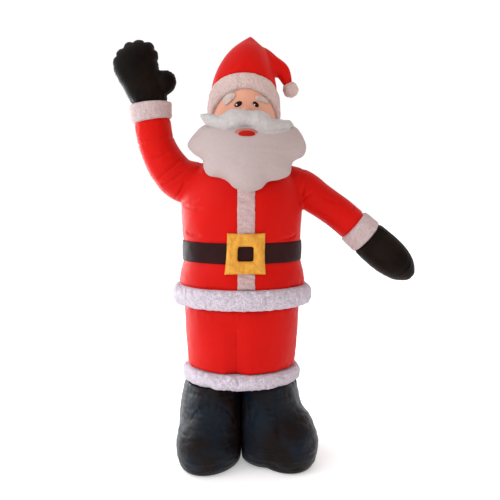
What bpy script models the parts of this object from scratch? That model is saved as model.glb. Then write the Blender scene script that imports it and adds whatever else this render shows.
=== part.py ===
"""Air-blown yard figure of a bearded man in a red fur-trimmed coat, waving, in metres, +Z up, facing -Y.

Every piece of its own cloth is one closed solid. The body is a stack of pieces that meet at level
seams, the sleeves end in cuffs and mittens, and the head carries hair, hat and face pieces. Pieces
that lie on others are cut by them, a seam gap apart. Sides are the figure's own: its right is at -X.
"""

import math

import bmesh
import bpy
from mathutils import Matrix, Vector
from mathutils.bvhtree import BVHTree

# Gap between pieces that are sewn together
SEAM_GAP = 0.0003

# Facets round the body, round a limb and round a small piece
BODY_SIDES = 36
LIMB_SIDES = 18
SMALL_SIDES = 10

# Boots: a shaft under each half of the trouser hem and a fat toe in front of it
BOOT_HEIGHT = 0.450
SHAFT_HALF_ACROSS = 0.182
SHAFT_HALF_DEPTH = 0.292
SHAFT_REACH_RIGHT = 0.337
SHAFT_REACH_LEFT = 0.331
TOE_HALF_WIDTH = 0.192
TOE_RISE = 0.120
TOE_TALL = 0.228
TOE_LONG = 0.300
TOE_FORWARD_RIGHT = 0.115
TOE_FORWARD_LEFT = 0.088
TOE_OUT_ANGLE = math.radians(14)
TOE_REACH_RIGHT = 0.360
TOE_REACH_LEFT = 0.427

# Plush bands at the trouser hem and the coat hem: height and how far they swell past the cloth
TROUSER_FUR_HEIGHT = 0.083
TROUSER_FUR_SWELL = 0.032
COAT_FUR_HEIGHT = 0.110
COAT_FUR_SWELL = 0.040

# Trousers: one tube for both legs, with a valley at the front
TROUSERS_HEIGHT = 0.362
TROUSERS_TOP_ACROSS = 0.333
TROUSERS_HEM_ACROSS = 0.310
TROUSERS_DEPTH_SHARE = 0.92
VALLEY_DEPTH = 0.020
VALLEY_HALF_WIDTH = 0.070
LEGS_TURN = math.radians(-4.5)
LEGS_SHIFT = -0.005

# Coat: half width and half depth at heights above its hem seam
COAT_HEM = (0.361, 0.322)
COAT_SKIRT = (0.355, 0.316)
COAT_WAIST = (0.337, 0.305)
COAT_CHEST = (0.346, 0.304)
COAT_SHOULDER = (0.310, 0.268)
COAT_NECK = (0.150, 0.155)
BELT_RISE = 0.141
BELT_HEIGHT = 0.110
CHEST_RISE = 0.430
SHOULDER_RISE = 0.600
NECK_RISE = 0.722
COAT_TURN = math.radians(4.5)

# Belt, buckle and the plush strip down the coat front
BELT_THICK = 0.004
BUCKLE_WIDTH = 0.205
BUCKLE_HEIGHT = 0.222
BUCKLE_WINDOW = 0.078
BUCKLE_THICK = 0.020
BUCKLE_WAIST = 0.004
BUCKLE_SINK = 0.030
TRIM_WIDTH = 0.094
TRIM_THICK = 0.010
TRIM_LENGTH_ABOVE = 0.300
TRIM_SINK = 0.012

# Raised arm: points along its middle from the shoulder seam, as steps across and up
RAISED_ARM_STEPS = ((0.100, -0.020), (-0.040, 0.000), (-0.122, 0.070), (-0.192, 0.204), (-0.216, 0.337))
RAISED_ARM_RADII = (0.120, 0.124, 0.116, 0.105, 0.104)
RAISED_SHOULDER_ACROSS = -0.295
RAISED_SHOULDER_RISE = 0.590

# Lowered arm, in the same way
LOWERED_ARM_STEPS = ((-0.120, 0.035), (0.030, -0.010), (0.140, -0.077), (0.248, -0.153), (0.339, -0.230))
LOWERED_ARM_RADII = (0.100, 0.104, 0.098, 0.094, 0.093)
LOWERED_SHOULDER_ACROSS = 0.300
LOWERED_SHOULDER_RISE = 0.565

# Cuffs and mittens. A turn of 0 points up, and positive leans to the figure's left
RAISED_CUFF_LENGTH = 0.102
LOWERED_CUFF_LENGTH = 0.112
CUFF_SWELL = 0.014
RAISED_CUFF_TURN = math.radians(-5.5)
LOWERED_CUFF_TURN = math.radians(131)
RAISED_MITTEN_LENGTH = 0.352
LOWERED_MITTEN_LENGTH = 0.338
RAISED_THUMB_LEAN = math.radians(56)
LOWERED_THUMB_LEAN = math.radians(26)
THUMB_START = 0.050
THUMB_LENGTH = 0.182
THUMB_RADIUS = 0.068

# Hands: share of the length, half width, half depth and shift of the middle towards the thumb
RAISED_HAND = (
    (0.00, 0.099, 0.099, 0.000), (0.13, 0.110, 0.103, -0.014), (0.26, 0.117, 0.104, -0.026),
    (0.44, 0.124, 0.104, -0.048), (0.61, 0.129, 0.102, -0.059), (0.80, 0.116, 0.088, -0.049),
    (0.92, 0.082, 0.060, -0.037),
)
LOWERED_HAND = (
    (0.00, 0.098, 0.098, 0.000), (0.18, 0.112, 0.102, 0.006), (0.36, 0.122, 0.103, 0.012),
    (0.52, 0.127, 0.100, 0.016), (0.68, 0.120, 0.089, 0.019), (0.82, 0.098, 0.070, 0.021),
    (0.93, 0.062, 0.042, 0.022),
)

# Head: half width and half depth at its middle, its place beside the body's axis and its turn
HEAD_HALF_WIDTH = 0.180
HEAD_HALF_DEPTH = 0.186
HEAD_MIDDLE_RISE = 0.255
HEAD_TALL = 0.420
HEAD_NARROWING = 0.24
HEAD_SHIFT = 0.012
FACE_TURN = math.radians(3.5)

# Hat: it sits on a plane that rises to the front, over a brim that frames the face
HAT_SEAM_RISE = 0.352
HAT_TILT = math.radians(26.5)
HAT_ACROSS = 0.187
HAT_DEEP = 0.192
HAT_HEIGHT = 0.323
HAT_PEAK_SHIFT = 0.035
HAT_PEAK_BACK = 0.020
TAIL_STEPS = ((-0.010, -0.085), (0.060, -0.106), (0.117, -0.148), (0.177, -0.185), (0.221, -0.254))
TAIL_RADII = (0.046, 0.056, 0.056, 0.045, 0.026)
POMPOM_RADIUS = 0.045
BRIM_THICK = 0.026
BRIM_HEIGHT = 0.086
HAIR_BESIDE_DROP = 0.170
HAIR_HEM_RISE = 0.012
HAIR_FALL = math.radians(36)
FACE_OPENING = math.radians(86)

# Beard: outline round its middle as steps across and up from the mouth, and its thickness
BEARD_OUTLINE = (
    (0.000, 0.082), (0.130, 0.082), (0.242, 0.078), (0.290, 0.040), (0.318, -0.024), (0.302, -0.086),
    (0.242, -0.134), (0.222, -0.206), (0.166, -0.242), (0.104, -0.260), (0.062, -0.302), (-0.006, -0.318),
    (-0.072, -0.296), (-0.108, -0.260), (-0.146, -0.236), (-0.214, -0.214), (-0.242, -0.170),
    (-0.254, -0.118), (-0.306, -0.070), (-0.338, -0.014), (-0.300, 0.040), (-0.242, 0.080), (-0.130, 0.082),
)
BEARD_MOUTH_RISE = 0.112
BEARD_MIDDLE_DROP = 0.100
BEARD_FORWARD = 0.235
BEARD_PITCH = math.radians(-16)
BEARD_THICK = 0.105
BEARD_BACK = 0.050
BEARD_WRAP = 0.95

# Moustache: its outline as steps across and up from its middle
MOUSTACHE_OUTLINE = (
    (0.002, 0.042), (0.050, 0.052), (0.080, 0.047), (0.128, 0.018), (0.158, 0.012), (0.196, 0.023),
    (0.224, 0.021), (0.237, 0.002), (0.210, -0.010), (0.178, -0.030), (0.158, -0.058), (0.098, -0.073),
    (0.038, -0.058), (0.002, -0.041), (-0.046, -0.048), (-0.106, -0.065), (-0.160, -0.070),
    (-0.210, -0.046), (-0.246, -0.014), (-0.250, 0.012), (-0.228, 0.023), (-0.187, 0.013),
    (-0.155, 0.006), (-0.106, 0.030), (-0.055, 0.049),
)
MOUSTACHE_RISE = 0.175
MOUSTACHE_THICK = 0.055
MOUSTACHE_FORWARD = 0.265
MOUSTACHE_WRAP = 1.3
MOUSTACHE_LEAN = math.radians(5.5)

# Face pieces, on the head: eyes, brows and nose by their place round and up the face
EYE_SPACING = 0.048
EYE_SHIFT = 0.006
EYE_RISE = 0.276
EYE_SIZE = (0.018, 0.014)
EYE_THICK = 0.006
BROW_SPACING = 0.091
BROW_BELOW_HAT = 0.044
BROW_SIZE = (0.039, 0.022)
BROW_LEAN_RIGHT = math.radians(-38)
BROW_LEAN_LEFT = math.radians(16)
BROW_THICK = 0.016
NOSE_RISE = 0.236
NOSE_RADIUS = 0.028
LIP_SIZE = (0.062, 0.025)
LIP_THICK = 0.007
MOUTH_SIZE = (0.046, 0.019)
MOUTH_THICK = 0.013
MOUTH_DROP = 0.004
MOUTH_SINK = 0.030

COLOURS = {
    "red_nylon": ((0.72, 0.02, 0.012), 0.45),
    "white_plush": ((0.82, 0.78, 0.78), 0.95),
    "black_nylon": ((0.012, 0.011, 0.012), 0.5),
    "belt_nylon": ((0.035, 0.022, 0.022), 0.5),
    "gold_satin": ((0.85, 0.43, 0.04), 0.4),
    "skin_nylon": ((0.80, 0.40, 0.25), 0.55),
    "mouth_red": ((0.60, 0.02, 0.02), 0.4),
    "eye_black": ((0.01, 0.008, 0.008), 0.3),
}


def material(slot):
    """The Principled material of a cloth, made once."""
    found = bpy.data.materials.get(slot)
    if found:
        return found
    colour, roughness = COLOURS[slot]
    made = bpy.data.materials.new(slot)
    made.use_nodes = True
    shader = made.node_tree.nodes["Principled BSDF"]
    shader.inputs["Base Color"].default_value = (*colour, 1.0)
    shader.inputs["Roughness"].default_value = roughness
    shader.inputs["Metallic"].default_value = 0.0
    return made


def spline(points, share):
    """The point at a share, from 0 to 1, of a smooth curve through points of any size."""
    place = min(max(share, 0.0), 1.0) * (len(points) - 1)
    first = min(int(place), len(points) - 2)
    t = place - first
    before = points[max(first - 1, 0)]
    after = points[min(first + 2, len(points) - 1)]
    result = []
    for p0, p1, p2, p3 in zip(before, points[first], points[first + 1], after):
        bend = 2 * p0 - 5 * p1 + 4 * p2 - p3
        twist = -p0 + 3 * p1 - 3 * p2 + p3
        result.append(0.5 * (2 * p1 + (p2 - p0) * t + bend * t * t + twist * t ** 3))
    return result


def closed_outline(points, share):
    """The point at a share of a smooth closed curve through points."""
    count = len(points)
    place = (share % 1.0) * count
    first = int(place) % count
    around = [points[(first + k) % count] for k in (-1, 0, 1, 2)]
    return spline(around, (1 + place - int(place)) / 3)


def oval(across, deep, sides, turn=0.0):
    """Level points of an ellipse, first one at the figure's front, turned about +Z."""
    points = []
    for k in range(sides):
        angle = 2 * math.pi * k / sides - math.pi / 2
        points.append(Vector((across * math.cos(angle), deep * math.sin(angle), 0.0)))
    spin = Matrix.Rotation(turn, 3, "Z")
    return [spin @ point for point in points]


def level_ring(height, across, deep, sides, turn=0.0, middle=(0.0, 0.0)):
    """An ellipse at a height."""
    place = Vector((middle[0], middle[1], height))
    return [place + point for point in oval(across, deep, sides, turn)]


def finish(name, mesh_maker, slot, smooth=True):
    """Makes a named object of its own material from what mesh_maker puts in a bmesh."""
    work = bmesh.new()
    mesh_maker(work)
    bmesh.ops.recalc_face_normals(work, faces=work.faces)
    bmesh.ops.triangulate(work, faces=[face for face in work.faces if len(face.verts) == 4])
    mesh = bpy.data.meshes.new(name)
    work.to_mesh(mesh)
    work.free()
    piece = bpy.data.objects.new(name, mesh)
    bpy.context.scene.collection.objects.link(piece)
    mesh.materials.append(material(slot))
    if smooth:
        mesh.shade_smooth()
    return piece


def skin(work, rings):
    """Joins rings of points into a closed surface. A ring of one point is a pole."""
    made = [[work.verts.new(point) for point in ring] for ring in rings]
    for low, high in zip(made, made[1:]):
        sides = max(len(low), len(high))
        for k in range(sides):
            corners = [low[k % len(low)], low[(k + 1) % len(low)]]
            corners += [high[(k + 1) % len(high)], high[k % len(high)]]
            work.faces.new(list(dict.fromkeys(corners)))
    for end in (made[0], made[-1]):
        if len(end) > 2:
            work.faces.new(end)


def lofted(name, rings, slot):
    """An object whose surface runs through rings of points."""
    return finish(name, lambda work: skin(work, rings), slot)


def hide(cutter):
    """Marks an object as a guide that isn't part of the figure."""
    cutter.hide_render = True
    cutter.display_type = "WIRE"
    return cutter


def boolean(piece, other, operation):
    """Adds an exact Boolean with another object."""
    step = piece.modifiers.new(operation.lower(), "BOOLEAN")
    step.operation = operation
    step.solver = "EXACT"
    step.object = other


def fuse(piece, *others):
    """Joins others into a piece as one body, and applies the union."""
    for other in others:
        boolean(piece, other, "UNION")
    apply_modifiers(piece)
    for other in others:
        bpy.data.objects.remove(other)


def evaluated_mesh(piece):
    """A new mesh of a piece with its modifiers applied."""
    bpy.context.view_layer.update()
    graph = bpy.context.evaluated_depsgraph_get()
    return bpy.data.meshes.new_from_object(piece.evaluated_get(graph))


def apply_modifiers(piece):
    """Replaces a piece's mesh with its modified one."""
    mesh = evaluated_mesh(piece)
    piece.modifiers.clear()
    piece.data = mesh


def grown(piece, gap):
    """A hidden copy of a piece, swollen by a gap along its vertex normals."""
    mesh = evaluated_mesh(piece)
    moves = [(corner.co + corner.normal * gap) for corner in mesh.vertices]
    for corner, place in zip(mesh.vertices, moves):
        corner.co = place
    copy = bpy.data.objects.new(piece.name + "_cutter", mesh)
    bpy.context.scene.collection.objects.link(copy)
    return hide(copy)


def seat(piece, *neighbours):
    """Cuts a piece by its neighbours, leaving the seam gap, and applies the cut."""
    cutters = [grown(other, SEAM_GAP) for other in neighbours]
    for cutter in cutters:
        boolean(piece, cutter, "DIFFERENCE")
    apply_modifiers(piece)
    for cutter in cutters:
        bpy.data.objects.remove(cutter)
    keep_largest(piece)
    return piece


def keep_largest(piece):
    """Keeps the largest body of a piece, without the slivers that a cut leaves behind a neighbour."""
    work = bmesh.new()
    work.from_mesh(piece.data)
    left = set(work.verts)
    groups = []
    while left:
        found = {left.pop()}
        edge = list(found)
        while edge:
            corner = edge.pop()
            for link in corner.link_edges:
                other = link.other_vert(corner)
                if other not in found:
                    found.add(other)
                    edge.append(other)
        left -= found
        groups.append(found)
    largest = max(groups, key=lambda group: spread(group))
    loose = [corner for group in groups if group is not largest for corner in group]
    bmesh.ops.delete(work, geom=loose, context="VERTS")
    work.to_mesh(piece.data)
    work.free()


def spread(corners):
    """The diagonal of the box round some corners."""
    lows = [min(corner.co[k] for corner in corners) for k in range(3)]
    highs = [max(corner.co[k] for corner in corners) for k in range(3)]
    return (Vector(highs) - Vector(lows)).length


def plane_cut(piece, point, normal):
    """Cuts away what lies ahead of a plane and closes the cut flat."""
    work = bmesh.new()
    work.from_mesh(piece.data)
    everything = work.verts[:] + work.edges[:] + work.faces[:]
    cut = bmesh.ops.bisect_plane(
        work, geom=everything, dist=1e-6, plane_co=point, plane_no=normal, clear_outer=True
    )
    rim = [item for item in cut["geom_cut"] if isinstance(item, bmesh.types.BMEdge)]
    bmesh.ops.contextual_create(work, geom=rim)
    bmesh.ops.recalc_face_normals(work, faces=work.faces)
    work.to_mesh(piece.data)
    work.free()


def band(name, base, height, across, deep, swell, turn, shift, slot):
    """A plush band round the body: a flat underside and top, and a swollen edge between them."""
    steps = ((0.00, 0.10), (0.16, 0.72), (0.50, 1.00), (0.86, 0.70), (1.00, 0.10))
    rings = []
    for rise, share in steps:
        out = share * swell
        rings.append(level_ring(
            base + rise * height, across + out, deep + out, BODY_SIDES, turn, (shift, 0.0)
        ))
    return lofted(name, rings, slot)


def boot(name, side, shaft_reach, reach, forward):
    """A boot on one side (-1 is the figure's right): a shaft and a fat toe, flat under the sole. The
    reaches are how far out the shaft and the toe come from the middle."""
    shaft_steps = ((0.00, 0.92), (0.12, 1.08), (0.35, 1.18), (0.55, 1.17), (0.73, 1.09), (1.00, 0.92))
    half = SHAFT_HALF_ACROSS
    shaft = lofted(name, [
        level_ring(
            rise * BOOT_HEIGHT, half * share, SHAFT_HALF_DEPTH * share, LIMB_SIDES + 6,
            middle=(LEGS_SHIFT + side * (shaft_reach - half), 0.0)
        )
        for rise, share in shaft_steps
    ], "black_nylon")
    toe_rings = []
    rounds = 9
    for k in range(rounds + 1):
        angle = math.pi * k / rounds - math.pi / 2
        share = max(math.cos(angle), 0.0) ** 0.9
        toe_rings.append([
            Vector((0.0, 0.0, TOE_TALL * math.sin(angle))) + point
            for point in oval(TOE_HALF_WIDTH * share, TOE_LONG * share, LIMB_SIDES + 4)
        ])
    for end in (0, -1):
        toe_rings[end] = [sum(toe_rings[end], Vector()) / len(toe_rings[end])]
    spin = Matrix.Rotation(side * TOE_OUT_ANGLE, 3, "Z")
    place = Vector((LEGS_SHIFT + side * (reach - TOE_HALF_WIDTH), -forward, TOE_RISE))
    toe = lofted(name + "_toe", [[place + spin @ p for p in ring] for ring in toe_rings], "black_nylon")
    fuse(shaft, toe)
    plane_cut(shaft, Vector((0, 0, 0)), Vector((0, 0, -1)))
    plane_cut(shaft, Vector((LEGS_SHIFT + side * SEAM_GAP / 2, 0, 0)), Vector((-side, 0, 0)))
    plane_cut(shaft, Vector((0, 0, BOOT_HEIGHT)), Vector((0, 0, 1)))
    return shaft


def trousers(base):
    """One red tube for both legs. The front has a valley that deepens towards the hem."""
    rounds = 3
    rings = []
    for k in range(rounds + 1):
        share = k / rounds
        across = TROUSERS_HEM_ACROSS + (TROUSERS_TOP_ACROSS - TROUSERS_HEM_ACROSS) * share
        ring = []
        for point in oval(across, across * TROUSERS_DEPTH_SHARE, BODY_SIDES):
            at_front = max(0.0, 1 - abs(point.x) / VALLEY_HALF_WIDTH) if point.y < 0 else 0.0
            point.y += VALLEY_DEPTH * (1 - share) * at_front
            ring.append(Matrix.Rotation(LEGS_TURN, 3, "Z") @ point)
        height = Vector((LEGS_SHIFT, 0, base + share * TROUSERS_HEIGHT))
        rings.append([height + point for point in ring])
    return lofted("trousers", rings, "red_nylon")


def coat_stations():
    """(height above the hem seam, half width, half depth) of the coat's main sections."""
    belt_top = BELT_RISE + BELT_HEIGHT
    return (
        (0.0, *COAT_HEM),
        (BELT_RISE * 0.5, *COAT_SKIRT),
        (BELT_RISE, *COAT_WAIST),
        (belt_top, *COAT_WAIST),
        (CHEST_RISE, *COAT_CHEST),
        (SHOULDER_RISE, *COAT_SHOULDER),
        (NECK_RISE, *COAT_NECK),
    )


def coat_sections():
    """The main sections with rounder ones between the chest and the neck."""
    stations = coat_stations()
    sections = list(stations[:5])
    rounds = 5
    low, high = stations[4], stations[6]
    knee = stations[5]
    for k in range(1, rounds):
        share = k / rounds
        a, b, c = (1 - share) ** 2, 2 * share * (1 - share), share ** 2
        control = [2 * knee[n] - (low[n] + high[n]) / 2 for n in range(3)]
        sections.append(tuple(a * low[n] + b * control[n] + c * high[n] for n in range(3)))
    sections.append(high)
    return sections


def limb(name, shoulder, steps, radii, slot, sides=LIMB_SIDES, rounds=8):
    """A tube in the plane of the arms: its end rings, and the direction of its open end."""
    middles = [(shoulder[0] + step[0], shoulder[1] + step[1]) for step in steps]
    rings = []
    ahead = Vector((0, 0, 1))
    place = Vector((0, 0, 0))
    for k in range(rounds + 1):
        share = k / rounds
        x, z = spline(middles, share)
        nearby = spline(middles, min(share + 0.01, 1.0))
        behind = spline(middles, max(share - 0.01, 0.0))
        ahead = Vector((nearby[0] - behind[0], 0, nearby[1] - behind[1])).normalized()
        across = ahead.cross(Vector((0, 1, 0)))
        (radius,) = spline([(r,) for r in radii], share)
        place = Vector((x, 0, z))
        ring = []
        for point in oval(radius, radius, sides):
            ring.append(place + across * point.x + Vector((0, 1, 0)) * point.y)
        rings.append(ring)
    return lofted(name, rings, slot), place, ahead, radii[-1]


def turned_frame(place, turn):
    """A frame at a place whose +Z points along a limb: turn 0 is up and positive leans to +X."""
    return Matrix.Translation(place) @ Matrix.Rotation(turn, 4, "Y")


def cuff(name, place, ahead, turn, radius, length):
    """A plush cuff past a sleeve's end. Its first ring lies on the sleeve's end and its last is square
    to the hand. Returns the cuff and the middle of its last ring."""
    sleeve_turn = math.atan2(ahead.x, ahead.z)
    steps = ((0.00, 0.92), (0.15, 1.0), (0.50, 1.0), (0.85, 1.0), (1.00, 0.86))
    swells = (0.0, 0.65, 0.85, 1.0, 0.3)
    rings = []
    middle = place + ahead * SEAM_GAP
    for (rise, share), swell in zip(steps, swells):
        lean = sleeve_turn + (turn - sleeve_turn) * rise
        direction = Matrix.Rotation(lean, 3, "Y") @ Vector((0, 0, 1))
        centre = middle + direction * length * rise
        frame = turned_frame(centre, lean)
        size = radius * share + CUFF_SWELL * swell
        rings.append([frame @ point for point in oval(size, size, LIMB_SIDES)])
    end = middle + Matrix.Rotation(turn, 3, "Y") @ Vector((0, 0, length + SEAM_GAP))
    return lofted(name, rings, "white_plush"), end


def mitten(name, wrist, turn, length, hand, thumb_lean, roll):
    """A mitten from its wrist on, leaning by turn. The thumb is on its +X side before the roll."""
    rings = []
    for rise, across, deep, shift in hand:
        rings.append(level_ring(rise * length, across, deep, LIMB_SIDES + 2, middle=(shift, 0.0)))
    rings.append([Vector((hand[-1][-1], 0.0, length))])
    palm = lofted(name, rings, "black_nylon")
    thumb_steps = ((0.00, 0.80), (0.40, 1.00), (0.68, 0.98), (0.88, 0.66), (1.00, 0.0))
    frame = turned_frame(Vector((0.0, 0.0, THUMB_START)), thumb_lean)
    thumb_rings = []
    for rise, share in thumb_steps:
        centre = Vector((0.0, 0.0, rise * THUMB_LENGTH))
        ring = oval(THUMB_RADIUS * share, THUMB_RADIUS * share * 0.95, SMALL_SIDES + 2)
        thumb_rings.append([frame @ (centre + p) for p in (ring if share else ring[:1])])
    thumb = lofted(name + "_thumb", thumb_rings, "black_nylon")
    fuse(palm, thumb)
    palm.data.transform(turned_frame(wrist, turn) @ Matrix.Rotation(roll, 4, "Z"))
    return palm


def pillow(
    name, outline, place, front, back, wrap, slot, sides=32, rounds=3, turn=0.0, lean=0.0, pitch=0.0
):
    """A stuffed shape: an outline in the plane of the face, swollen to the front and the back, and
    wrapped back at its sides. outline(share) gives steps across and up from place. It leans in its
    own plane, and a negative pitch brings its lower edge forward."""
    rings_front, rings_back = [], []
    tilt = Matrix.Rotation(pitch, 3, "X") @ Matrix.Rotation(lean, 3, "Y")
    spin = Matrix.Translation(place) @ Matrix.Rotation(turn, 4, "Z")
    for k in range(rounds + 1):
        share = k / rounds
        reach = math.sin(share * math.pi / 2)
        swell = math.cos(share * math.pi / 2)
        for rings, thick, side in ((rings_front, front, -1), (rings_back, back, 1)):
            ring = []
            for n in range(sides if k else 1):
                x, z = outline(n / sides)
                point = Vector((x * reach, wrap * (x * reach) ** 2 + side * thick * swell, z * reach))
                ring.append(spin @ (tilt @ point))
            rings.append(ring)
    rings = rings_front + rings_back[-2::-1]
    return lofted(name, rings, slot)


def head_rings(base):
    """Rings of the head from the neck seam up. The hat's seam plane cuts its top off."""
    rings = []
    rounds = 9
    top = HEAD_MIDDLE_RISE + HEAD_TALL
    for k in range(rounds):
        rise = 0.86 * top * k / (rounds - 1)
        size = head_radius(rise)
        rings.append(level_ring(
            base + rise, HEAD_HALF_WIDTH * size, HEAD_HALF_DEPTH * size, 28, FACE_TURN, (HEAD_SHIFT, 0.0)
        ))
    return rings


def head_radius(rise):
    """Share of the head's half width at a height above the neck seam."""
    if rise < HEAD_MIDDLE_RISE:
        return 1 - HEAD_NARROWING * (1 - rise / HEAD_MIDDLE_RISE) ** 2
    return (1 - min((rise - HEAD_MIDDLE_RISE) / HEAD_TALL, 1.0) ** 2.6) ** 0.5


def face_point(base, across, rise):
    """A point on the head's front, across from the face's middle line and above the neck seam."""
    size = head_radius(rise)
    y = -HEAD_HALF_DEPTH * size * math.sqrt(max(0.0, 1 - (across / (HEAD_HALF_WIDTH * size)) ** 2))
    spun = Matrix.Rotation(FACE_TURN, 3, "Z") @ Vector((across, y, 0))
    return spun + Vector((HEAD_SHIFT, 0, base + rise))


def hat_seam(base):
    """A point and the upward normal of the tilted plane between the head and the hat."""
    normal = Vector((0, math.sin(HAT_TILT), math.cos(HAT_TILT)))
    return Vector((HEAD_SHIFT, 0, base + HAT_SEAM_RISE)), normal


def hair_and_brim(base):
    """Plush shell round the head: the hat's brim over the forehead, and hair down the sides and back."""
    point, normal = hat_seam(base)
    sides = 36
    profile = ((0.0, 0.15), (0.10, 0.72), (0.5, 1.0), (0.90, 0.72), (1.0, 0.15))
    columns = []
    for k in range(sides):
        angle = 2 * math.pi * k / sides
        from_front = abs((angle + math.pi) % (2 * math.pi) - math.pi)
        way = Matrix.Rotation(angle + FACE_TURN, 3, "Z") @ Vector((0, -1, 0))
        top = seam_height(point, normal, way) - SEAM_GAP * 3
        arch = min(from_front / FACE_OPENING, 1.0) ** 1.7
        drop = BRIM_HEIGHT + (HAIR_BESIDE_DROP - BRIM_HEIGHT) * arch
        if from_front > FACE_OPENING:
            past = min((from_front - FACE_OPENING) / HAIR_FALL, 1.0)
            drop += (top - base - HAIR_HEM_RISE - drop) * past * past * (3 - 2 * past)
        column = []
        for rise, swell in profile:
            column.append(shell_point(base, way, top - drop * (1 - rise), BRIM_THICK * swell))
        for rise, _ in reversed(profile):
            column.append(shell_point(base, way, top - drop * (1 - rise), -BRIM_THICK))
        columns.append(column)

    def weave(work):
        made = [[work.verts.new(p) for p in column] for column in columns]
        for left, right in zip(made, made[1:] + made[:1]):
            count = len(left)
            for n in range(count):
                after = (n + 1) % count
                work.faces.new((left[n], right[n], right[after], left[after]))

    return finish("hair_and_brim", weave, "white_plush")


def seam_height(point, normal, way):
    """Height of the hat's seam plane at the head's side in a direction."""
    height = point.z
    for _ in range(4):
        x = point.x + way.x * HEAD_HALF_WIDTH
        y = way.y * HEAD_HALF_DEPTH
        height = point.z - (normal.x * (x - point.x) + normal.y * (y - point.y)) / normal.z
    return height


def shell_point(base, way, height, out):
    """A point on the head's side in a level direction at a height, moved out level."""
    size = head_radius(height - base)
    shift = Vector((HEAD_SHIFT, 0, height))
    across = Matrix.Rotation(-FACE_TURN, 3, "Z") @ way
    reach = size / math.hypot(across.x / HEAD_HALF_WIDTH, across.y / HEAD_HALF_DEPTH)
    return shift + way * (reach + out)


def hat(base):
    """A dome that rises to a point, and a tail that falls from it to the figure's left."""
    point, normal = hat_seam(base)
    steps = (
        (0.00, 1.00), (0.12, 0.97), (0.32, 0.895), (0.50, 0.79), (0.66, 0.66), (0.80, 0.49), (0.92, 0.26)
    )
    rings = []
    for rise, share in steps:
        level = (1 - rise) ** 1.5
        lean = Matrix.Rotation(-HAT_TILT * level, 3, "X")
        shift = Vector((HAT_PEAK_SHIFT * rise ** 2, HAT_PEAK_BACK * rise, HAT_HEIGHT * rise))
        rings.append([
            point + normal * SEAM_GAP + shift + lean @ p
            for p in oval(HAT_ACROSS * share, HAT_DEEP * share, 28)
        ])
    peak = point + Vector((HAT_PEAK_SHIFT, HAT_PEAK_BACK, HAT_HEIGHT))
    rings.append([peak])
    dome = lofted("hat", rings, "red_nylon")
    tail, end, ahead, radius = limb(
        "hat_tail", (peak.x, peak.z), TAIL_STEPS, TAIL_RADII, "red_nylon", sides=14, rounds=8
    )
    tail.data.transform(Matrix.Translation((0, peak.y, 0)))
    fuse(dome, tail)
    return dome, end + Vector((0, peak.y, 0)), ahead, radius


def ball(name, place, radius, slot, sides=SMALL_SIDES, squash=1.0):
    """A round piece made of level rings."""
    rings = []
    rounds = 6
    for k in range(rounds + 1):
        angle = math.pi * k / rounds - math.pi / 2
        size = radius * math.cos(angle)
        height = place.z + radius * squash * math.sin(angle)
        ring = level_ring(height, size, size, sides, middle=(place.x, place.y))
        rings.append(ring if 0 < k < rounds else [sum(ring, Vector()) / sides])
    return lofted(name, rings, slot)


def belt(base, sections):
    """A flat band round the coat's waist, parallel to the coat's facets."""
    low, high = sections[2], sections[3]
    rings = []
    for out, station in ((SEAM_GAP, low), (BELT_THICK, low), (BELT_THICK, high), (SEAM_GAP, high)):
        rings.append(level_ring(
            base + station[0], station[1] + out, station[2] + out, BODY_SIDES, COAT_TURN
        ))

    def weave(work):
        made = [[work.verts.new(p) for p in ring] for ring in rings]
        for lower, upper in zip(made, made[1:] + made[:1]):
            for k in range(BODY_SIDES):
                after = (k + 1) % BODY_SIDES
                work.faces.new((lower[k], lower[after], upper[after], upper[k]))

    return finish("belt", weave, "belt_nylon")


def coat_front(sections, rise):
    """Half width and half depth of the coat at a height above its hem seam."""
    for low, high in zip(sections, sections[1:]):
        if rise <= high[0]:
            share = (rise - low[0]) / (high[0] - low[0])
            return tuple(low[n] + (high[n] - low[n]) * share for n in (1, 2))
    return sections[-1][1:]


def front_strip(name, base, sections, low, high, neighbours):
    """A plush strip on the coat front between two heights above the hem seam, cut by its neighbours."""
    rises = sorted({low, high, *[s[0] for s in sections if low < s[0] < high]})
    across_steps = (-1.0, -0.8, 0.0, 0.8, 1.0)
    swell = (0.35, 1.0, 1.15, 1.0, 0.35)

    def weave(work):
        made = []
        for rise in rises:
            across, deep = coat_front(sections, rise)
            ring = []
            for side, out in list(zip(across_steps, swell)) + [(1.0, None), (-1.0, None)]:
                x = side * TRIM_WIDTH / 2
                y = -deep * math.sqrt(1 - (x / across) ** 2)
                y += TRIM_SINK if out is None else -TRIM_THICK * out
                spun = Matrix.Rotation(COAT_TURN, 3, "Z") @ Vector((x, y, 0))
                ring.append(work.verts.new(spun + Vector((0, 0, base + rise))))
            made.append(ring)
        for lower, upper in zip(made, made[1:]):
            for k in range(len(lower)):
                after = (k + 1) % len(lower)
                work.faces.new((lower[k], lower[after], upper[after], upper[k]))
        work.faces.new(made[0])
        work.faces.new(made[-1])

    return seat(finish(name, weave, "white_plush"), *neighbours)


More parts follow.
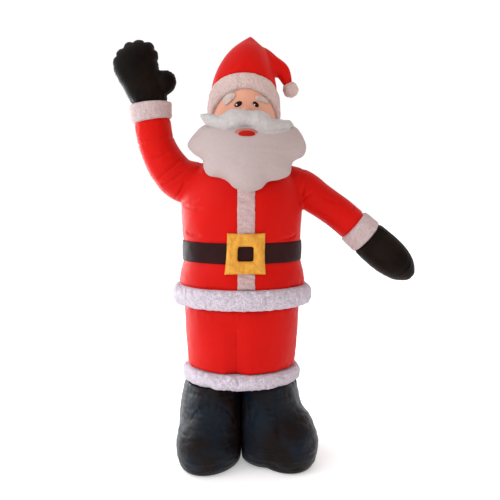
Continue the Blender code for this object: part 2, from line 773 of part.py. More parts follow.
def buckle(base, sections, neighbours):
    """A gold square cushion with pointed corners and a window, in front of the belt."""
    middle_rise = BELT_RISE + BELT_HEIGHT / 2
    _, deep = coat_front(sections, middle_rise)
    half_w, half_h, hole = BUCKLE_WIDTH / 2, BUCKLE_HEIGHT / 2, BUCKLE_WINDOW / 2
    per_side = 3
    outer, inner, ridge = [], [], []
    corners = ((-1, -1), (1, -1), (1, 1), (-1, 1))
    for n in range(4):
        start, end = corners[n], corners[(n + 1) % 4]
        for k in range(per_side):
            share = k / per_side
            u = start[0] + (end[0] - start[0]) * share
            v = start[1] + (end[1] - start[1]) * share
            pinch = BUCKLE_WAIST * math.sin(math.pi * share)
            across = u * half_w - (pinch * u if abs(u) == 1 and abs(v) < 1 else 0)
            up = v * half_h - (pinch * v if abs(v) == 1 and abs(u) < 1 else 0)
            outer.append((across, up))
            inner.append((u * hole, v * hole))
            ridge.append(((across + u * hole) / 2, (up + v * hole) / 2))
    front = -(deep + BELT_THICK)

    def weave(work):
        loops = []
        thin = BUCKLE_THICK * 0.25
        back = BUCKLE_SINK
        layers = ((inner, back), (inner, -thin), (ridge, -BUCKLE_THICK), (outer, -thin), (outer, back))
        for loop, out in layers:
            ring = []
            for x, z in loop:
                wrap = deep - deep * math.sqrt(1 - (x / sections[2][1]) ** 2)
                spun = Matrix.Rotation(COAT_TURN, 3, "Z") @ Vector((x, front + out + wrap, 0))
                ring.append(work.verts.new(spun + Vector((0, 0, base + middle_rise + z))))
            loops.append(ring)
        for lower, upper in zip(loops, loops[1:] + loops[:1]):
            for k in range(len(lower)):
                after = (k + 1) % len(lower)
                work.faces.new((lower[k], lower[after], upper[after], upper[k]))

    return seat(finish("buckle", weave, "gold_satin"), *neighbours)


def face_pad(name, base, across, rise, size, lean, slot, neighbours, thick):
    """A small oval pad on the head's front, cut by its neighbours."""
    place = face_point(base, across, rise)
    turn = FACE_TURN + math.asin(max(-1.0, min(1.0, across / HEAD_HALF_WIDTH)))

    def outline(share):
        angle = 2 * math.pi * share
        return size[0] * math.cos(angle), size[1] * math.sin(angle)

    pad = pillow(
        name, outline, place, thick, thick, 0.0, slot, sides=SMALL_SIDES, rounds=2, turn=turn, lean=lean
    )
    return seat(pad, *neighbours)


def centre_on_floor(pieces):
    """Moves all pieces so that the origin is the middle of the underside of their common box."""
    corners = []
    for piece in pieces:
        corners += [corner.co for corner in piece.data.vertices]
    lows = [min(corner[k] for corner in corners) for k in range(3)]
    highs = [max(corner[k] for corner in corners) for k in range(3)]
    move = Vector((-(lows[0] + highs[0]) / 2, -(lows[1] + highs[1]) / 2, -lows[2]))
    for piece in pieces:
        piece.data.transform(Matrix.Translation(move))


def body():
    """Boots, trousers, coat with its sleeves, and the bands, belt and strips on them."""
    pieces = [
        boot("boot_right", -1, SHAFT_REACH_RIGHT, TOE_REACH_RIGHT, TOE_FORWARD_RIGHT),
        boot("boot_left", 1, SHAFT_REACH_LEFT, TOE_REACH_LEFT, TOE_FORWARD_LEFT),
    ]
    height = BOOT_HEIGHT + SEAM_GAP
    deep = TROUSERS_HEM_ACROSS * TROUSERS_DEPTH_SHARE
    pieces.append(band(
        "trouser_fur", height, TROUSER_FUR_HEIGHT, TROUSERS_HEM_ACROSS, deep, TROUSER_FUR_SWELL,
        LEGS_TURN, LEGS_SHIFT, "white_plush"
    ))
    height += TROUSER_FUR_HEIGHT + SEAM_GAP
    pieces.append(trousers(height))
    height += TROUSERS_HEIGHT + SEAM_GAP
    pieces.append(band(
        "coat_fur", height, COAT_FUR_HEIGHT, *COAT_HEM, COAT_FUR_SWELL, COAT_TURN, 0.0, "white_plush"
    ))
    height += COAT_FUR_HEIGHT + SEAM_GAP

    sections = coat_sections()
    coat = lofted("coat", [
        level_ring(height + rise, across, deep, BODY_SIDES, COAT_TURN) for rise, across, deep in sections
    ], "red_nylon")
    raised = (RAISED_SHOULDER_ACROSS, height + RAISED_SHOULDER_RISE)
    lowered = (LOWERED_SHOULDER_ACROSS, height + LOWERED_SHOULDER_RISE)
    sleeve_up, end_up, ahead_up, radius_up = limb(
        "sleeve_up", raised, RAISED_ARM_STEPS, RAISED_ARM_RADII, "red_nylon"
    )
    sleeve_down, end_down, ahead_down, radius_down = limb(
        "sleeve_down", lowered, LOWERED_ARM_STEPS, LOWERED_ARM_RADII, "red_nylon"
    )
    fuse(coat, sleeve_up, sleeve_down)
    waist = belt(height, sections)
    belt_top = BELT_RISE + BELT_HEIGHT
    pieces += [coat, waist]
    pieces.append(front_strip("front_trim_lower", height, sections, SEAM_GAP, BELT_RISE - SEAM_GAP, [coat]))
    top = belt_top + TRIM_LENGTH_ABOVE
    pieces.append(front_strip("front_trim_upper", height, sections, belt_top + SEAM_GAP, top, [coat]))
    pieces.append(buckle(height, sections, [coat, waist, pieces[-1], pieces[-2]]))

    cuff_up, wrist_up = cuff(
        "cuff_raised", end_up, ahead_up, RAISED_CUFF_TURN, radius_up, RAISED_CUFF_LENGTH
    )
    cuff_down, wrist_down = cuff(
        "cuff_lowered", end_down, ahead_down, LOWERED_CUFF_TURN, radius_down, LOWERED_CUFF_LENGTH
    )
    pieces += [cuff_up, cuff_down]
    pieces.append(mitten(
        "mitten_raised", wrist_up, RAISED_CUFF_TURN, RAISED_MITTEN_LENGTH, RAISED_HAND,
        RAISED_THUMB_LEAN, 0.0
    ))
    pieces.append(mitten(
        "mitten_lowered", wrist_down, LOWERED_CUFF_TURN, LOWERED_MITTEN_LENGTH, LOWERED_HAND,
        LOWERED_THUMB_LEAN, math.radians(-90)
    ))
    return pieces, coat, height + NECK_RISE + SEAM_GAP


def head_and_hat(coat, base, trim):
    """Head, hair, hat, beard and the pieces of the face, above the coat's neck seam."""
    head = lofted("head", head_rings(base), "skin_nylon")
    point, normal = hat_seam(base)
    plane_cut(head, point, normal)
    shell = seat(hair_and_brim(base), head)
    cap, tail_end, tail_ahead, _ = hat(base)
    seat(shell, cap)
    bob = ball("pompom", tail_end + tail_ahead * POMPOM_RADIUS * 0.8, POMPOM_RADIUS, "white_plush")
    seat(bob, cap)
    nose = seat(ball("nose", face_point(base, 0.0, NOSE_RISE), NOSE_RADIUS, "skin_nylon"), head)

    mouth_point = face_point(base, 0.0, BEARD_MOUTH_RISE)
    beard_place = Vector((mouth_point.x, 0, mouth_point.z - BEARD_MIDDLE_DROP))
    beard_place += Matrix.Rotation(FACE_TURN, 3, "Z") @ Vector((0, -BEARD_FORWARD, 0))
    beard = pillow(
        "beard", lambda s: beard_outline(s), beard_place, BEARD_THICK, BEARD_BACK, BEARD_WRAP,
        "white_plush", sides=46, rounds=4, pitch=BEARD_PITCH
    )
    seat(beard, head, coat, shell, trim)

    place = face_point(base, 0.0, MOUSTACHE_RISE)
    place = Vector((place.x, 0, place.z)) + Matrix.Rotation(FACE_TURN, 3, "Z") @ Vector(
        (0, -MOUSTACHE_FORWARD, 0)
    )
    moustache = pillow(
        "moustache", lambda s: closed_outline(MOUSTACHE_OUTLINE, s), place, MOUSTACHE_THICK,
        MOUSTACHE_THICK * 0.8, MOUSTACHE_WRAP, "white_plush", sides=40, rounds=3, turn=FACE_TURN,
        lean=MOUSTACHE_LEAN
    )
    seat(moustache, head, shell, nose, beard)

    pieces = [head, shell, cap, bob, nose, beard, moustache]
    for side, name, lean in ((-1, "right", BROW_LEAN_RIGHT), (1, "left", BROW_LEAN_LEFT)):
        pieces.append(face_pad(
            "eye_" + name, base, EYE_SHIFT + side * EYE_SPACING, EYE_RISE, EYE_SIZE, 0.0, "eye_black",
            [head, nose, moustache], EYE_THICK
        ))
        pieces.append(face_pad(
            "brow_" + name, base, side * BROW_SPACING, HAT_SEAM_RISE - BROW_BELOW_HAT, BROW_SIZE,
            lean, "white_plush", [head, shell, pieces[-1]], BROW_THICK
        ))
    pieces += mouth_pieces(mouth_point, beard, moustache)
    return pieces


def beard_outline(share):
    """The beard's outline round its middle, with its scalloped lower edge."""
    x, z = closed_outline(BEARD_OUTLINE, share)
    return x, z + BEARD_MIDDLE_DROP


def surface_in_front(piece, x, z):
    """The point of a piece's front surface at a place across and up."""
    tree = BVHTree.FromPolygons(
        [corner.co for corner in piece.data.vertices], [face.vertices for face in piece.data.polygons]
    )
    in_front = -2 * COAT_HEM[1]
    found, _, _, _ = tree.ray_cast(Vector((x, in_front, z)), Vector((0, 1, 0)))
    return found


def mouth_pieces(mouth_point, beard, moustache):
    """The lip and the red mouth, on the beard under the moustache."""
    pieces = []
    others = [beard, moustache]
    place = surface_in_front(beard, mouth_point.x, mouth_point.z - MOUTH_DROP)
    for name, size, slot, out in (
        ("lip", LIP_SIZE, "skin_nylon", LIP_THICK), ("mouth", MOUTH_SIZE, "mouth_red", MOUTH_THICK)
    ):
        def outline(share, size=size):
            angle = 2 * math.pi * share
            return size[0] * math.cos(angle), size[1] * math.sin(angle)

        pad = pillow(
            name, outline, place, out, MOUTH_SINK, 0.0, slot, sides=SMALL_SIDES, rounds=2, turn=FACE_TURN
        )
        pieces.append(seat(pad, *others))
        others = others + [pieces[-1]]
    return pieces


def main():
    """Clears the scene and builds the figure."""
    for old in list(bpy.data.objects):
        bpy.data.objects.remove(old)
    pieces, coat, neck = body()
    trim = next(piece for piece in pieces if piece.name == "front_trim_upper")
    pieces += head_and_hat(coat, neck, trim)
    centre_on_floor(pieces)


main()
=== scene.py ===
"""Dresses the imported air-blown figure: nylon body, plush trims, mittens, face and hat.

Lengths are metres, +Z is up and the figure faces -Y, with its own right side at -X. Every piece is made
round the body's axis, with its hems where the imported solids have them, and moved to the axis at the end.
"""

import logging
import math
from collections.abc import Callable, Sequence
from dataclasses import dataclass, field
from enum import Enum

import bmesh
import bpy
import numpy as np
from mathutils import Euler, Matrix, Vector
from mathutils.bvhtree import BVHTree


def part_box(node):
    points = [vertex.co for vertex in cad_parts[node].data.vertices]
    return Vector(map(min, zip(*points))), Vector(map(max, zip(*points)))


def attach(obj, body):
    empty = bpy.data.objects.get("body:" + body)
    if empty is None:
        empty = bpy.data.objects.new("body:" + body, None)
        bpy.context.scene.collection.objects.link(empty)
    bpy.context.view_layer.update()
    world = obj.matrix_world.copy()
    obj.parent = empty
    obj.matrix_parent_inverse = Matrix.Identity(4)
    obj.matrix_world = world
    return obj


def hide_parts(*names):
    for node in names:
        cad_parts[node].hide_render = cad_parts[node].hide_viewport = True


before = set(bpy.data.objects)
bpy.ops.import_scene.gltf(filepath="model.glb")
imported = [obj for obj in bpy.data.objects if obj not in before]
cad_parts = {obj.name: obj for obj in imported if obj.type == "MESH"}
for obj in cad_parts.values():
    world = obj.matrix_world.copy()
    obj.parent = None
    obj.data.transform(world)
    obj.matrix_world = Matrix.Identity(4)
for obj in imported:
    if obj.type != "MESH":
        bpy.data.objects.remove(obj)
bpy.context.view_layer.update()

Points = np.ndarray
Pair = tuple[float, float]
Triple = tuple[float, float, float]
Colour = Triple
LOG = logging.getLogger("figure")

SEAM_GAP = 0.0003
LEGS_TURN = math.radians(-4.5)
LEGS_SHIFT = -0.005
COAT_TURN = math.radians(4.5)
FACE_TURN = math.radians(3.5)
FRONT_SHIFT = 0.0245
FAR_BACK = 9.0
FAR_FRONT = -3.0
BODY_REACH = 0.40


class Side(Enum):
    """The figure's own sides."""

    RIGHT = -1
    LEFT = 1


class Ends(Enum):
    """What becomes of the two ends of a stack of rings."""

    CLOSED = "closed"
    JOINED = "joined"


# Curves and heights

def lattice(cells: np.ndarray, seed: int) -> np.ndarray:
    """Fixed random numbers from -1 to 1, one for each whole cell."""
    mixed = cells[:, 0] * 73856093 ^ cells[:, 1] * 19349663 ^ cells[:, 2] * 83492791 ^ (seed * 7919 + 101)
    mixed = (mixed ^ (mixed >> 13)) * 1274126177
    mixed = (mixed ^ (mixed >> 11)) * 668265263
    return ((mixed >> 7) & 0xFFFF) / 32767.5 - 1


def noise(points: Points, cell: float | Sequence[float], seed: int) -> np.ndarray:
    """Smooth random heights in space.

    Args:
        points: rows of places.
        cell: size of one hump, or its sizes along X, Y and Z.
        seed: picks one of many such patterns.

    Returns:
        One height from -1 to 1 for each place.
    """
    place = points / np.asarray(cell, float) + seed * 3.17
    base = np.floor(place).astype(np.int64)
    part = place - base
    part = part ** 3 * (part * (part * 6 - 15) + 10)
    total = np.zeros(len(points))
    for corner in range(8):
        step = np.array([(corner >> k) & 1 for k in range(3)])
        weight = np.prod(np.where(step, part, 1 - part), axis=1)
        total += weight * lattice(base + step, seed)
    return total


def ripples(across: np.ndarray, up: np.ndarray, seed: int) -> np.ndarray:
    """Smooth random heights over a sheet, at places across and up that are given in humps."""
    return noise(np.stack([across, up, 0 * across], -1), 1.0, seed)


def smooth_step(values: np.ndarray, low: float, high: float) -> np.ndarray:
    """A smooth rise from 0 at low to 1 at high."""
    share = np.clip((values - low) / (high - low), 0, 1)
    return share * share * (3 - 2 * share)


def spline(points: Sequence[Sequence[float]], shares: np.ndarray) -> Points:
    """Points of a smooth curve through rows, at shares from 0 to 1 of its length in rows."""
    rows = np.asarray(points, float)
    place = np.clip(shares, 0, 1) * (len(rows) - 1)
    first = np.minimum(place.astype(int), len(rows) - 2)
    t = (place - first)[:, None]
    before = rows[np.maximum(first - 1, 0)]
    start, end = rows[first], rows[first + 1]
    after = rows[np.minimum(first + 2, len(rows) - 1)]
    bend = 2 * before - 5 * start + 4 * end - after
    twist = -before + 3 * start - 3 * end + after
    return 0.5 * (2 * start + (end - before) * t + bend * t ** 2 + twist * t ** 3)


def closed_spline(points: Sequence[Sequence[float]], shares: np.ndarray) -> Points:
    """Points of a smooth closed curve through rows."""
    rows = np.asarray(points, float)
    count = len(rows)
    around = np.concatenate([rows[-1:], rows, rows[:2]])
    return spline(around, (1 + (shares % 1.0) * count) / (count + 2))


def turned(points: Points, angle: float, axis: str = "Z") -> Points:
    """Points turned about an axis through the origin."""
    return points @ np.array(Matrix.Rotation(angle, 3, axis)).T


def ovals(middles: Points, across: np.ndarray, deep: np.ndarray, sides: int, turn: float = 0.0) -> Points:
    """Level ellipses.

    Args:
        middles: the middle point of each.
        across: half width of each.
        deep: half depth of each.
        sides: points on each, the first one at the figure's front.
        turn: turn about +Z.

    Returns:
        An array of rings of points.
    """
    angle = 2 * math.pi * np.arange(sides) / sides - math.pi / 2
    level = np.stack([
        np.outer(across, np.cos(angle)), np.outer(deep, np.sin(angle)), np.zeros((len(middles), sides))
    ], axis=-1)
    return middles[:, None, :] + turned(level, turn)


def upright(heights: np.ndarray, x: float = 0.0, y: float = 0.0) -> Points:
    """Middle points one above the other."""
    return np.stack([np.full(len(heights), x), np.full(len(heights), y), heights], axis=-1)


def tube(path: Points, radii: np.ndarray, deep: np.ndarray, sides: int) -> Points:
    """Rings across a path in a plane of X and Z, with half depths along Y."""
    ahead = np.gradient(path, axis=0)
    ahead /= np.linalg.norm(ahead, axis=1)[:, None]
    across = np.cross(ahead, (0, 1, 0))
    angle = 2 * math.pi * np.arange(sides) / sides - math.pi / 2
    reach = radii[:, None, None] * np.cos(angle)[None, :, None]
    depth = deep[:, None, None] * np.sin(angle)[None, :, None]
    return path[:, None] + across[:, None] * reach + np.array([0.0, 1.0, 0.0]) * depth


def loop_of(ring: Points) -> Points:
    """A ring as a line that ends where it starts."""
    return np.concatenate([ring, ring[:1]])


def heading(path: Points) -> Points:
    """The direction that a path points in at its end."""
    ahead = path[-1] - path[-2]
    return ahead / np.linalg.norm(ahead)


def in_space(flat: Points, y: np.ndarray | float = 0.0) -> Points:
    """Places across and up as points of space."""
    return np.stack([flat[:, 0], np.broadcast_to(y, len(flat)), flat[:, 1]], axis=-1)


def linked(name: str, data: bpy.types.ID) -> bpy.types.Object:
    """A new object in the scene."""
    made = bpy.data.objects.new(name, data)
    bpy.context.scene.collection.objects.link(made)
    return made


@dataclass
class Seam:
    """A sewn line or a fold: a groove, with gathers that run out from it on both sides."""

    line: Points
    depth: float = 0.004
    width: float = 0.007
    gather: float = 0.0025
    reach: float = 0.035
    pitch: float = 0.026
    fades: bool = False
    seed: int = 5

    def nearest(self, points: Points) -> tuple[np.ndarray, np.ndarray]:
        """Distance from the line, and how far along the line its nearest place is."""
        best = np.full(len(points), np.inf)
        along = np.zeros(len(points))
        start = 0.0
        for low, high in zip(self.line, self.line[1:]):
            step = high - low
            length = np.linalg.norm(step)
            if length < 1e-9:
                continue
            share = np.clip((points - low) @ step / length ** 2, 0, 1)
            away = np.linalg.norm(points - low - share[:, None] * step, axis=1)
            closer = away < best
            best[closer] = away[closer]
            along[closer] = start + share[closer] * length
            start += length
        return best, along

    def relief(self, points: Points) -> np.ndarray:
        """Height that the seam adds at each point, along the cloth's normal."""
        if len(self.line) < 2:
            return np.zeros(len(points))
        margin = 2.5 * max(self.reach, self.width)
        low, high = self.line.min(axis=0) - margin, self.line.max(axis=0) + margin
        near = np.all((points > low) & (points < high), axis=1)
        heights = np.zeros(len(points))
        if not near.any():
            return heights
        away, along = self.nearest(points[near])
        total = np.linalg.norm(np.diff(self.line, axis=0), axis=1).sum()
        strength = np.sin(math.pi * np.clip(along / total, 0, 1)) ** 0.7 if self.fades else 1.0
        ripple = ripples(along / self.pitch, away / self.reach, self.seed)
        ripple = ripple * np.exp(-(away / self.reach) ** 2) * self.gather
        heights[near] = strength * (ripple - self.depth * np.exp(-(away / self.width) ** 2))
        return heights


@dataclass
class Cloth:
    """A closed surface in the making."""

    mesh: bpy.types.Mesh

    @classmethod
    def woven(cls, rings: Points, ends: Ends = Ends.CLOSED) -> "Cloth":
        """A surface through rings of points.

        Args:
            rings: rings of equally many points.
            ends: closed by a face each, or joined to one another.

        Returns:
            The cloth, with its faces turned outwards.
        """
        count, sides = rings.shape[:2]
        index = np.arange(count * sides).reshape(count, sides)
        low, high = (index, np.roll(index, -1, 0)) if ends is Ends.JOINED else (index[:-1], index[1:])
        quads = np.stack([low, np.roll(low, -1, 1), np.roll(high, -1, 1), high], -1)
        faces = quads.reshape(-1, 4).tolist()
        if ends is Ends.CLOSED:
            faces += [index[0][::-1].tolist(), index[-1].tolist()]
        mesh = bpy.data.meshes.new("cloth")
        mesh.from_pydata(rings.reshape(-1, 3).tolist(), [], faces)
        return cls(mesh).edited(lambda work: bmesh.ops.recalc_face_normals(work, faces=work.faces))

    def edited(self, change: Callable[[bmesh.types.BMesh], object]) -> "Cloth":
        """The same cloth after a change made in a bmesh."""
        work = bmesh.new()
        work.from_mesh(self.mesh)
        change(work)
        work.to_mesh(self.mesh)
        work.free()
        return self

    @property
    def points(self) -> Points:
        """Corner points as rows."""
        flat = np.empty(len(self.mesh.vertices) * 3, np.float32)
        self.mesh.vertices.foreach_get("co", flat)
        return flat.reshape(-1, 3).astype(float)

    @property
    def normals(self) -> Points:
        """Corner normals as rows."""
        flat = np.empty(len(self.mesh.vertices) * 3, np.float32)
        self.mesh.vertex_normals.foreach_get("vector", flat)
        return flat.reshape(-1, 3).astype(float)

    def placed(self, points: Points) -> "Cloth":
        """The same cloth with its corners at other points."""
        self.mesh.vertices.foreach_set("co", points.astype(np.float32).ravel())
        self.mesh.update()
        return self

    def between(self, low: float, high: float) -> "Cloth":
        """The same cloth, flattened where it would pass two levels."""
        points = self.points
        points[:, 2] = np.clip(points[:, 2], low, high)
        return self.placed(points)

    def pushed(self, heights: np.ndarray) -> "Cloth":
        """The same cloth with each corner moved along its normal."""
        return self.placed(self.points + self.normals * heights[:, None])

    def sewn(self, seams: Sequence[Seam], uneven: float = 0.003, seed: int = 1) -> "Cloth":
        """The same cloth with its seams drawn in and with the unevenness of blown-up cloth."""
        points = self.points
        heights = uneven * noise(points, 0.21, seed) + 0.4 * uneven * noise(points, 0.085, seed + 1)
        for seam in seams:
            heights += seam.relief(points)
        return self.pushed(heights)

    def fused(self, voxel: float, *others: "Cloth", rounds: int = 6) -> "Cloth":
        """This cloth and others as one evenly meshed surface, eased without shrinking."""
        for other in others:
            self.edited(lambda work, other=other: work.from_mesh(other.mesh))
        helper = linked("fused", self.mesh)
        remesh = helper.modifiers.new("fused", "REMESH")
        remesh.mode = "VOXEL"
        remesh.voxel_size = voxel
        bpy.context.view_layer.update()
        graph = bpy.context.evaluated_depsgraph_get()
        result = Cloth(bpy.data.meshes.new_from_object(helper.evaluated_get(graph)))
        bpy.data.objects.remove(helper)
        return result.eased(rounds)

    def eased(
        self, rounds: int, gain: float = 0.55, swell: float = 0.57, where: np.ndarray | float = 1.0
    ) -> "Cloth":
        """The same cloth, smoother. Each round shrinks it a little and swells it back.

        Args:
            rounds: rounds of easing.
            gain: share of the way to its neighbours' middle that a corner goes.
            swell: share of the way that it then goes back.
            where: how much of that each corner does, as a column.

        Returns:
            The cloth.
        """
        count = len(self.mesh.vertices)
        edges = np.empty(len(self.mesh.edges) * 2, np.int32)
        self.mesh.edges.foreach_get("vertices", edges)
        one, two = edges.reshape(-1, 2).T
        links = np.bincount(one, minlength=count) + np.bincount(two, minlength=count)
        points = self.points
        for share in (gain, -swell) * rounds:
            middle = np.stack([
                np.bincount(one, points[two, k], count) + np.bincount(two, points[one, k], count)
                for k in range(3)
            ], axis=1) / links[:, None]
            points += share * where * (middle - points)
        return self.placed(points)

    def cut(self, point: Sequence[float], normal: Sequence[float]) -> "Cloth":
        """The same cloth without what lies ahead of a plane, closed flat there."""

        def slice_off(work: bmesh.types.BMesh) -> None:
            """Cuts, closes the hole and keeps its rim sharp."""
            everything = work.verts[:] + work.edges[:] + work.faces[:]
            found = bmesh.ops.bisect_plane(
                work, geom=everything, dist=1e-6, plane_co=point, plane_no=normal, clear_outer=True
            )
            rim = [item for item in found["geom_cut"] if isinstance(item, bmesh.types.BMEdge)]
            bmesh.ops.contextual_create(work, geom=rim)
            bmesh.ops.recalc_face_normals(work, faces=work.faces)
            for edge in rim:
                edge.smooth = False

        return self.edited(slice_off)

    def tree(self) -> BVHTree:
        """A search tree of the faces."""
        return BVHTree.FromPolygons(
            [corner.co for corner in self.mesh.vertices], [face.vertices for face in self.mesh.polygons]
        )


def landing(targets: Sequence[BVHTree], places: Points) -> np.ndarray:
    """How far back the first of some surfaces is.

    Args:
        targets: search trees of the surfaces.
        places: points, of which X and Z are used.

    Returns:
        The Y of the first surface from the front at each place, or a far one where there is none.
    """
    back = np.full(len(places), FAR_BACK)
    for row, place in enumerate(places):
        for target in targets:
            hit = target.ray_cast(Vector((place[0], FAR_FRONT, place[2])), Vector((0, 1, 0)))[0]
            if hit and hit.y < back[row]:
                back[row] = hit.y
    return back


@dataclass(frozen=True)
class Viewpoint:
    """The camera of the photograph, beside the body's axis. Pixels are those of its 500 x 500 frame."""

    place: Triple = (0.045, -3.6, 1.515)
    down: float = math.atan(55 / 622)
    focal: float = 622.0
    middle: float = 250.0
    sensor: float = 36.0

    @property
    def turn(self) -> Euler:
        """Rotation of the camera."""
        return Euler((math.pi / 2 - self.down, 0.0, 0.0))

    def onto(self, cloth: Cloth, pixels: Sequence[Pair], steps: int = 8) -> Points:
        """A line seen through some pixels, as it lies on a cloth."""
        tree = cloth.tree()
        spots = np.asarray(pixels, float)
        found = []
        for spot in spline(spots, np.linspace(0, 1, steps * (len(spots) - 1) + 1)):
            ray = Vector((spot[0] - self.middle, self.middle - spot[1], -self.focal))
            ray.rotate(self.turn)
            hit = tree.ray_cast(Vector(self.place), ray.normalized())[0]
            if hit:
                found.append(hit)
        return np.array(found)

    def camera(self, axis: Vector) -> None:
        """Makes the scene's camera at this viewpoint."""
        lens = bpy.data.cameras.new("camera")
        lens.sensor_width = self.sensor
        lens.lens = self.focal / (2 * self.middle) * self.sensor
        made = linked("camera", lens)
        made.location = Vector(self.place) + axis
        made.rotation_euler = self.turn
        bpy.context.scene.camera = made


# Finishes

class Value:
    """A shader socket that takes part in Python sums."""

    def __init__(self, shader: "Shader", socket: bpy.types.NodeSocket) -> None:
        """Keeps the socket and the shader that it belongs to."""
        self.shader = shader
        self.socket = socket

    def maths(self, operation: str, first: "Value | float", second: "Value | float") -> "Value":
        """The result of a Math node."""
        return self.shader.value("ShaderNodeMath", {"operation": operation}, {0: first, 1: second})

    def __add__(self, other: "Value | float") -> "Value":
        """Sum."""
        return self.maths("ADD", self, other)

    def __sub__(self, other: "Value | float") -> "Value":
        """Difference."""
        return self.maths("SUBTRACT", self, other)

    def __mul__(self, other: "Value | float") -> "Value":
        """Product."""
        return self.maths("MULTIPLY", self, other)


class Shader:
    """A Principled material in the making."""

    def __init__(self, name: str) -> None:
        """Makes the material, with the object's own space as its texture space."""
        self.material = bpy.data.materials.new(name)
        self.material.use_nodes = True
        self.tree = self.material.node_tree
        self.surface = self.tree.nodes["Principled BSDF"]
        self.place = self.value("ShaderNodeTexCoord", {}, {}, "Object")

    @classmethod
    def of(cls, tree: bpy.types.NodeTree, surface: str) -> "Shader":
        """A shader in a node tree that exists, such as the world's."""
        made = cls.__new__(cls)
        made.tree = tree
        made.surface = tree.nodes[surface]
        return made

    def value(self, kind: str, settings: dict, sockets: dict, output: str | int = 0) -> Value:
        """One output of a new node.

        Args:
            kind: the node's type.
            settings: its properties, set before its sockets. "stops" are the stops of a ramp.
            sockets: numbers, colours or links for its inputs, by name or place.
            output: the output to take.

        Returns:
            The output as a value.
        """
        node = self.tree.nodes.new(kind)
        for name, setting in settings.items():
            if name == "stops":
                for stop, (place, colour) in zip(self.ramp_stops(node, len(setting)), setting):
                    stop.position = place
                    stop.color = (*colour, 1.0)
            else:
                setattr(node, name, setting)
        for name, item in sockets.items():
            self.feed(node.inputs[name], item)
        return Value(self, node.outputs[output])

    def ramp_stops(self, node: bpy.types.Node, count: int) -> list:
        """The stops of a ramp, as many as asked for."""
        elements = node.color_ramp.elements
        while len(elements) < count:
            elements.new(1.0)
        return list(elements)

    def feed(self, socket: bpy.types.NodeSocket, item: "Value | float | Sequence[float]") -> None:
        """Links a value into a socket, or sets the socket to a number or colour."""
        if isinstance(item, Value):
            self.tree.links.new(item.socket, socket)
        else:
            socket.default_value = item

    def grain(self, size: float, detail: float = 2.0, stretch: Triple = (1, 1, 1)) -> Value:
        """Noise of one size in metres, from 0 to 1, stretched along the axes."""
        place = self.value("ShaderNodeVectorMath", {"operation": "MULTIPLY"}, {0: self.place, 1: stretch})
        return self.value("ShaderNodeTexNoise", {}, {"Vector": place, "Scale": 1 / size, "Detail": detail})

    def parting(self, size: float, stretch: Triple) -> Value:
        """Thin winding lines where pile parts: 0 on a line and 1 off it."""
        near = self.grain(size, 1.0, stretch) - 0.5
        return self.rise(near.maths("ABSOLUTE", near, 0.0), 0.0, 0.016)

    def threads(self, size: float, direction: str) -> Value:
        """Parallel threads of one spacing, from 0 to 1."""
        place = self.value(
            "ShaderNodeVectorRotate", {"rotation_type": "Z_AXIS"}, {"Vector": self.place, "Angle": 0.6}
        )
        return self.value(
            "ShaderNodeTexWave", {"bands_direction": direction},
            {"Vector": place, "Scale": math.pi / (10 * size)}
        )

    def mixed(self, share: Value, first: "Colour | Value", second: "Colour | Value") -> Value:
        """A colour between two."""
        ends = [item if isinstance(item, Value) else (*item, 1.0) for item in (first, second)]
        return self.value("ShaderNodeMix", {"data_type": "RGBA"}, {0: share, 6: ends[0], 7: ends[1]}, 2)

    def rise(self, share: Value, low: float, high: float) -> Value:
        """A smooth rise from 0 at low to 1 at high."""
        return self.value(
            "ShaderNodeMapRange", {"interpolation_type": "SMOOTHSTEP"},
            {"Value": share, "From Min": low, "From Max": high}
        )

    def ramp(self, share: Value, stops: Sequence[tuple[float, Colour]]) -> Value:
        """A colour from a row of stops."""
        return self.value("ShaderNodeValToRGB", {"stops": stops}, {0: share})

    def bumped(self, height: Value, distance: float) -> None:
        """Relief of the surface."""
        relief = self.value("ShaderNodeBump", {}, {"Height": height, "Distance": distance})
        self.feed(self.surface.inputs["Normal"], relief)

    def dress(self, colour: "Value | Sequence[float]", roughness: "Value | float", gleam: float) -> None:
        """Colour, roughness and shine of the surface."""
        self.feed(self.surface.inputs["Base Color"], colour)
        self.feed(self.surface.inputs["Roughness"], roughness)
        self.feed(self.surface.inputs["Specular IOR Level"], gleam)

    def sheen(self, weight: float, roughness: float, tint: Colour) -> None:
        """Soft light at the edges, as loose fibres give."""
        self.feed(self.surface.inputs["Sheen Weight"], weight)
        self.feed(self.surface.inputs["Sheen Roughness"], roughness)
        self.feed(self.surface.inputs["Sheen Tint"], (*tint, 1.0))


@dataclass(frozen=True)
class Nylon:
    """Thin coated cloth with a fine plain weave and a soft gleam."""

    slot: str
    light: Colour
    deep: Colour
    roughness: float = 0.45
    gleam: float = 0.35
    sheen: float = 0.25
    tint: Colour = (1.0, 0.8, 0.8)
    crumple: float = 0.0012
    patch: float = 0.30

    def material(self) -> bpy.types.Material:
        """The procedural material."""
        shader = Shader(self.slot + "_cloth")
        patches = shader.grain(self.patch, 3.0)
        speck = shader.grain(0.004, 1.0)
        shade = shader.rise(patches, 0.35, 0.65) * 0.85 + speck * 0.15
        rough = shader.grain(0.05) * 0.14 + (self.roughness - 0.07)
        shader.dress(shader.mixed(shade, self.light, self.deep), rough, self.gleam)
        weave = shader.threads(0.0016, "Z") * shader.threads(0.0016, "X")
        crumple = shader.grain(0.045, 3.0)
        shader.bumped(crumple + weave * 0.06, self.crumple)
        shader.sheen(self.sheen, 0.5, self.tint)
        return shader.material


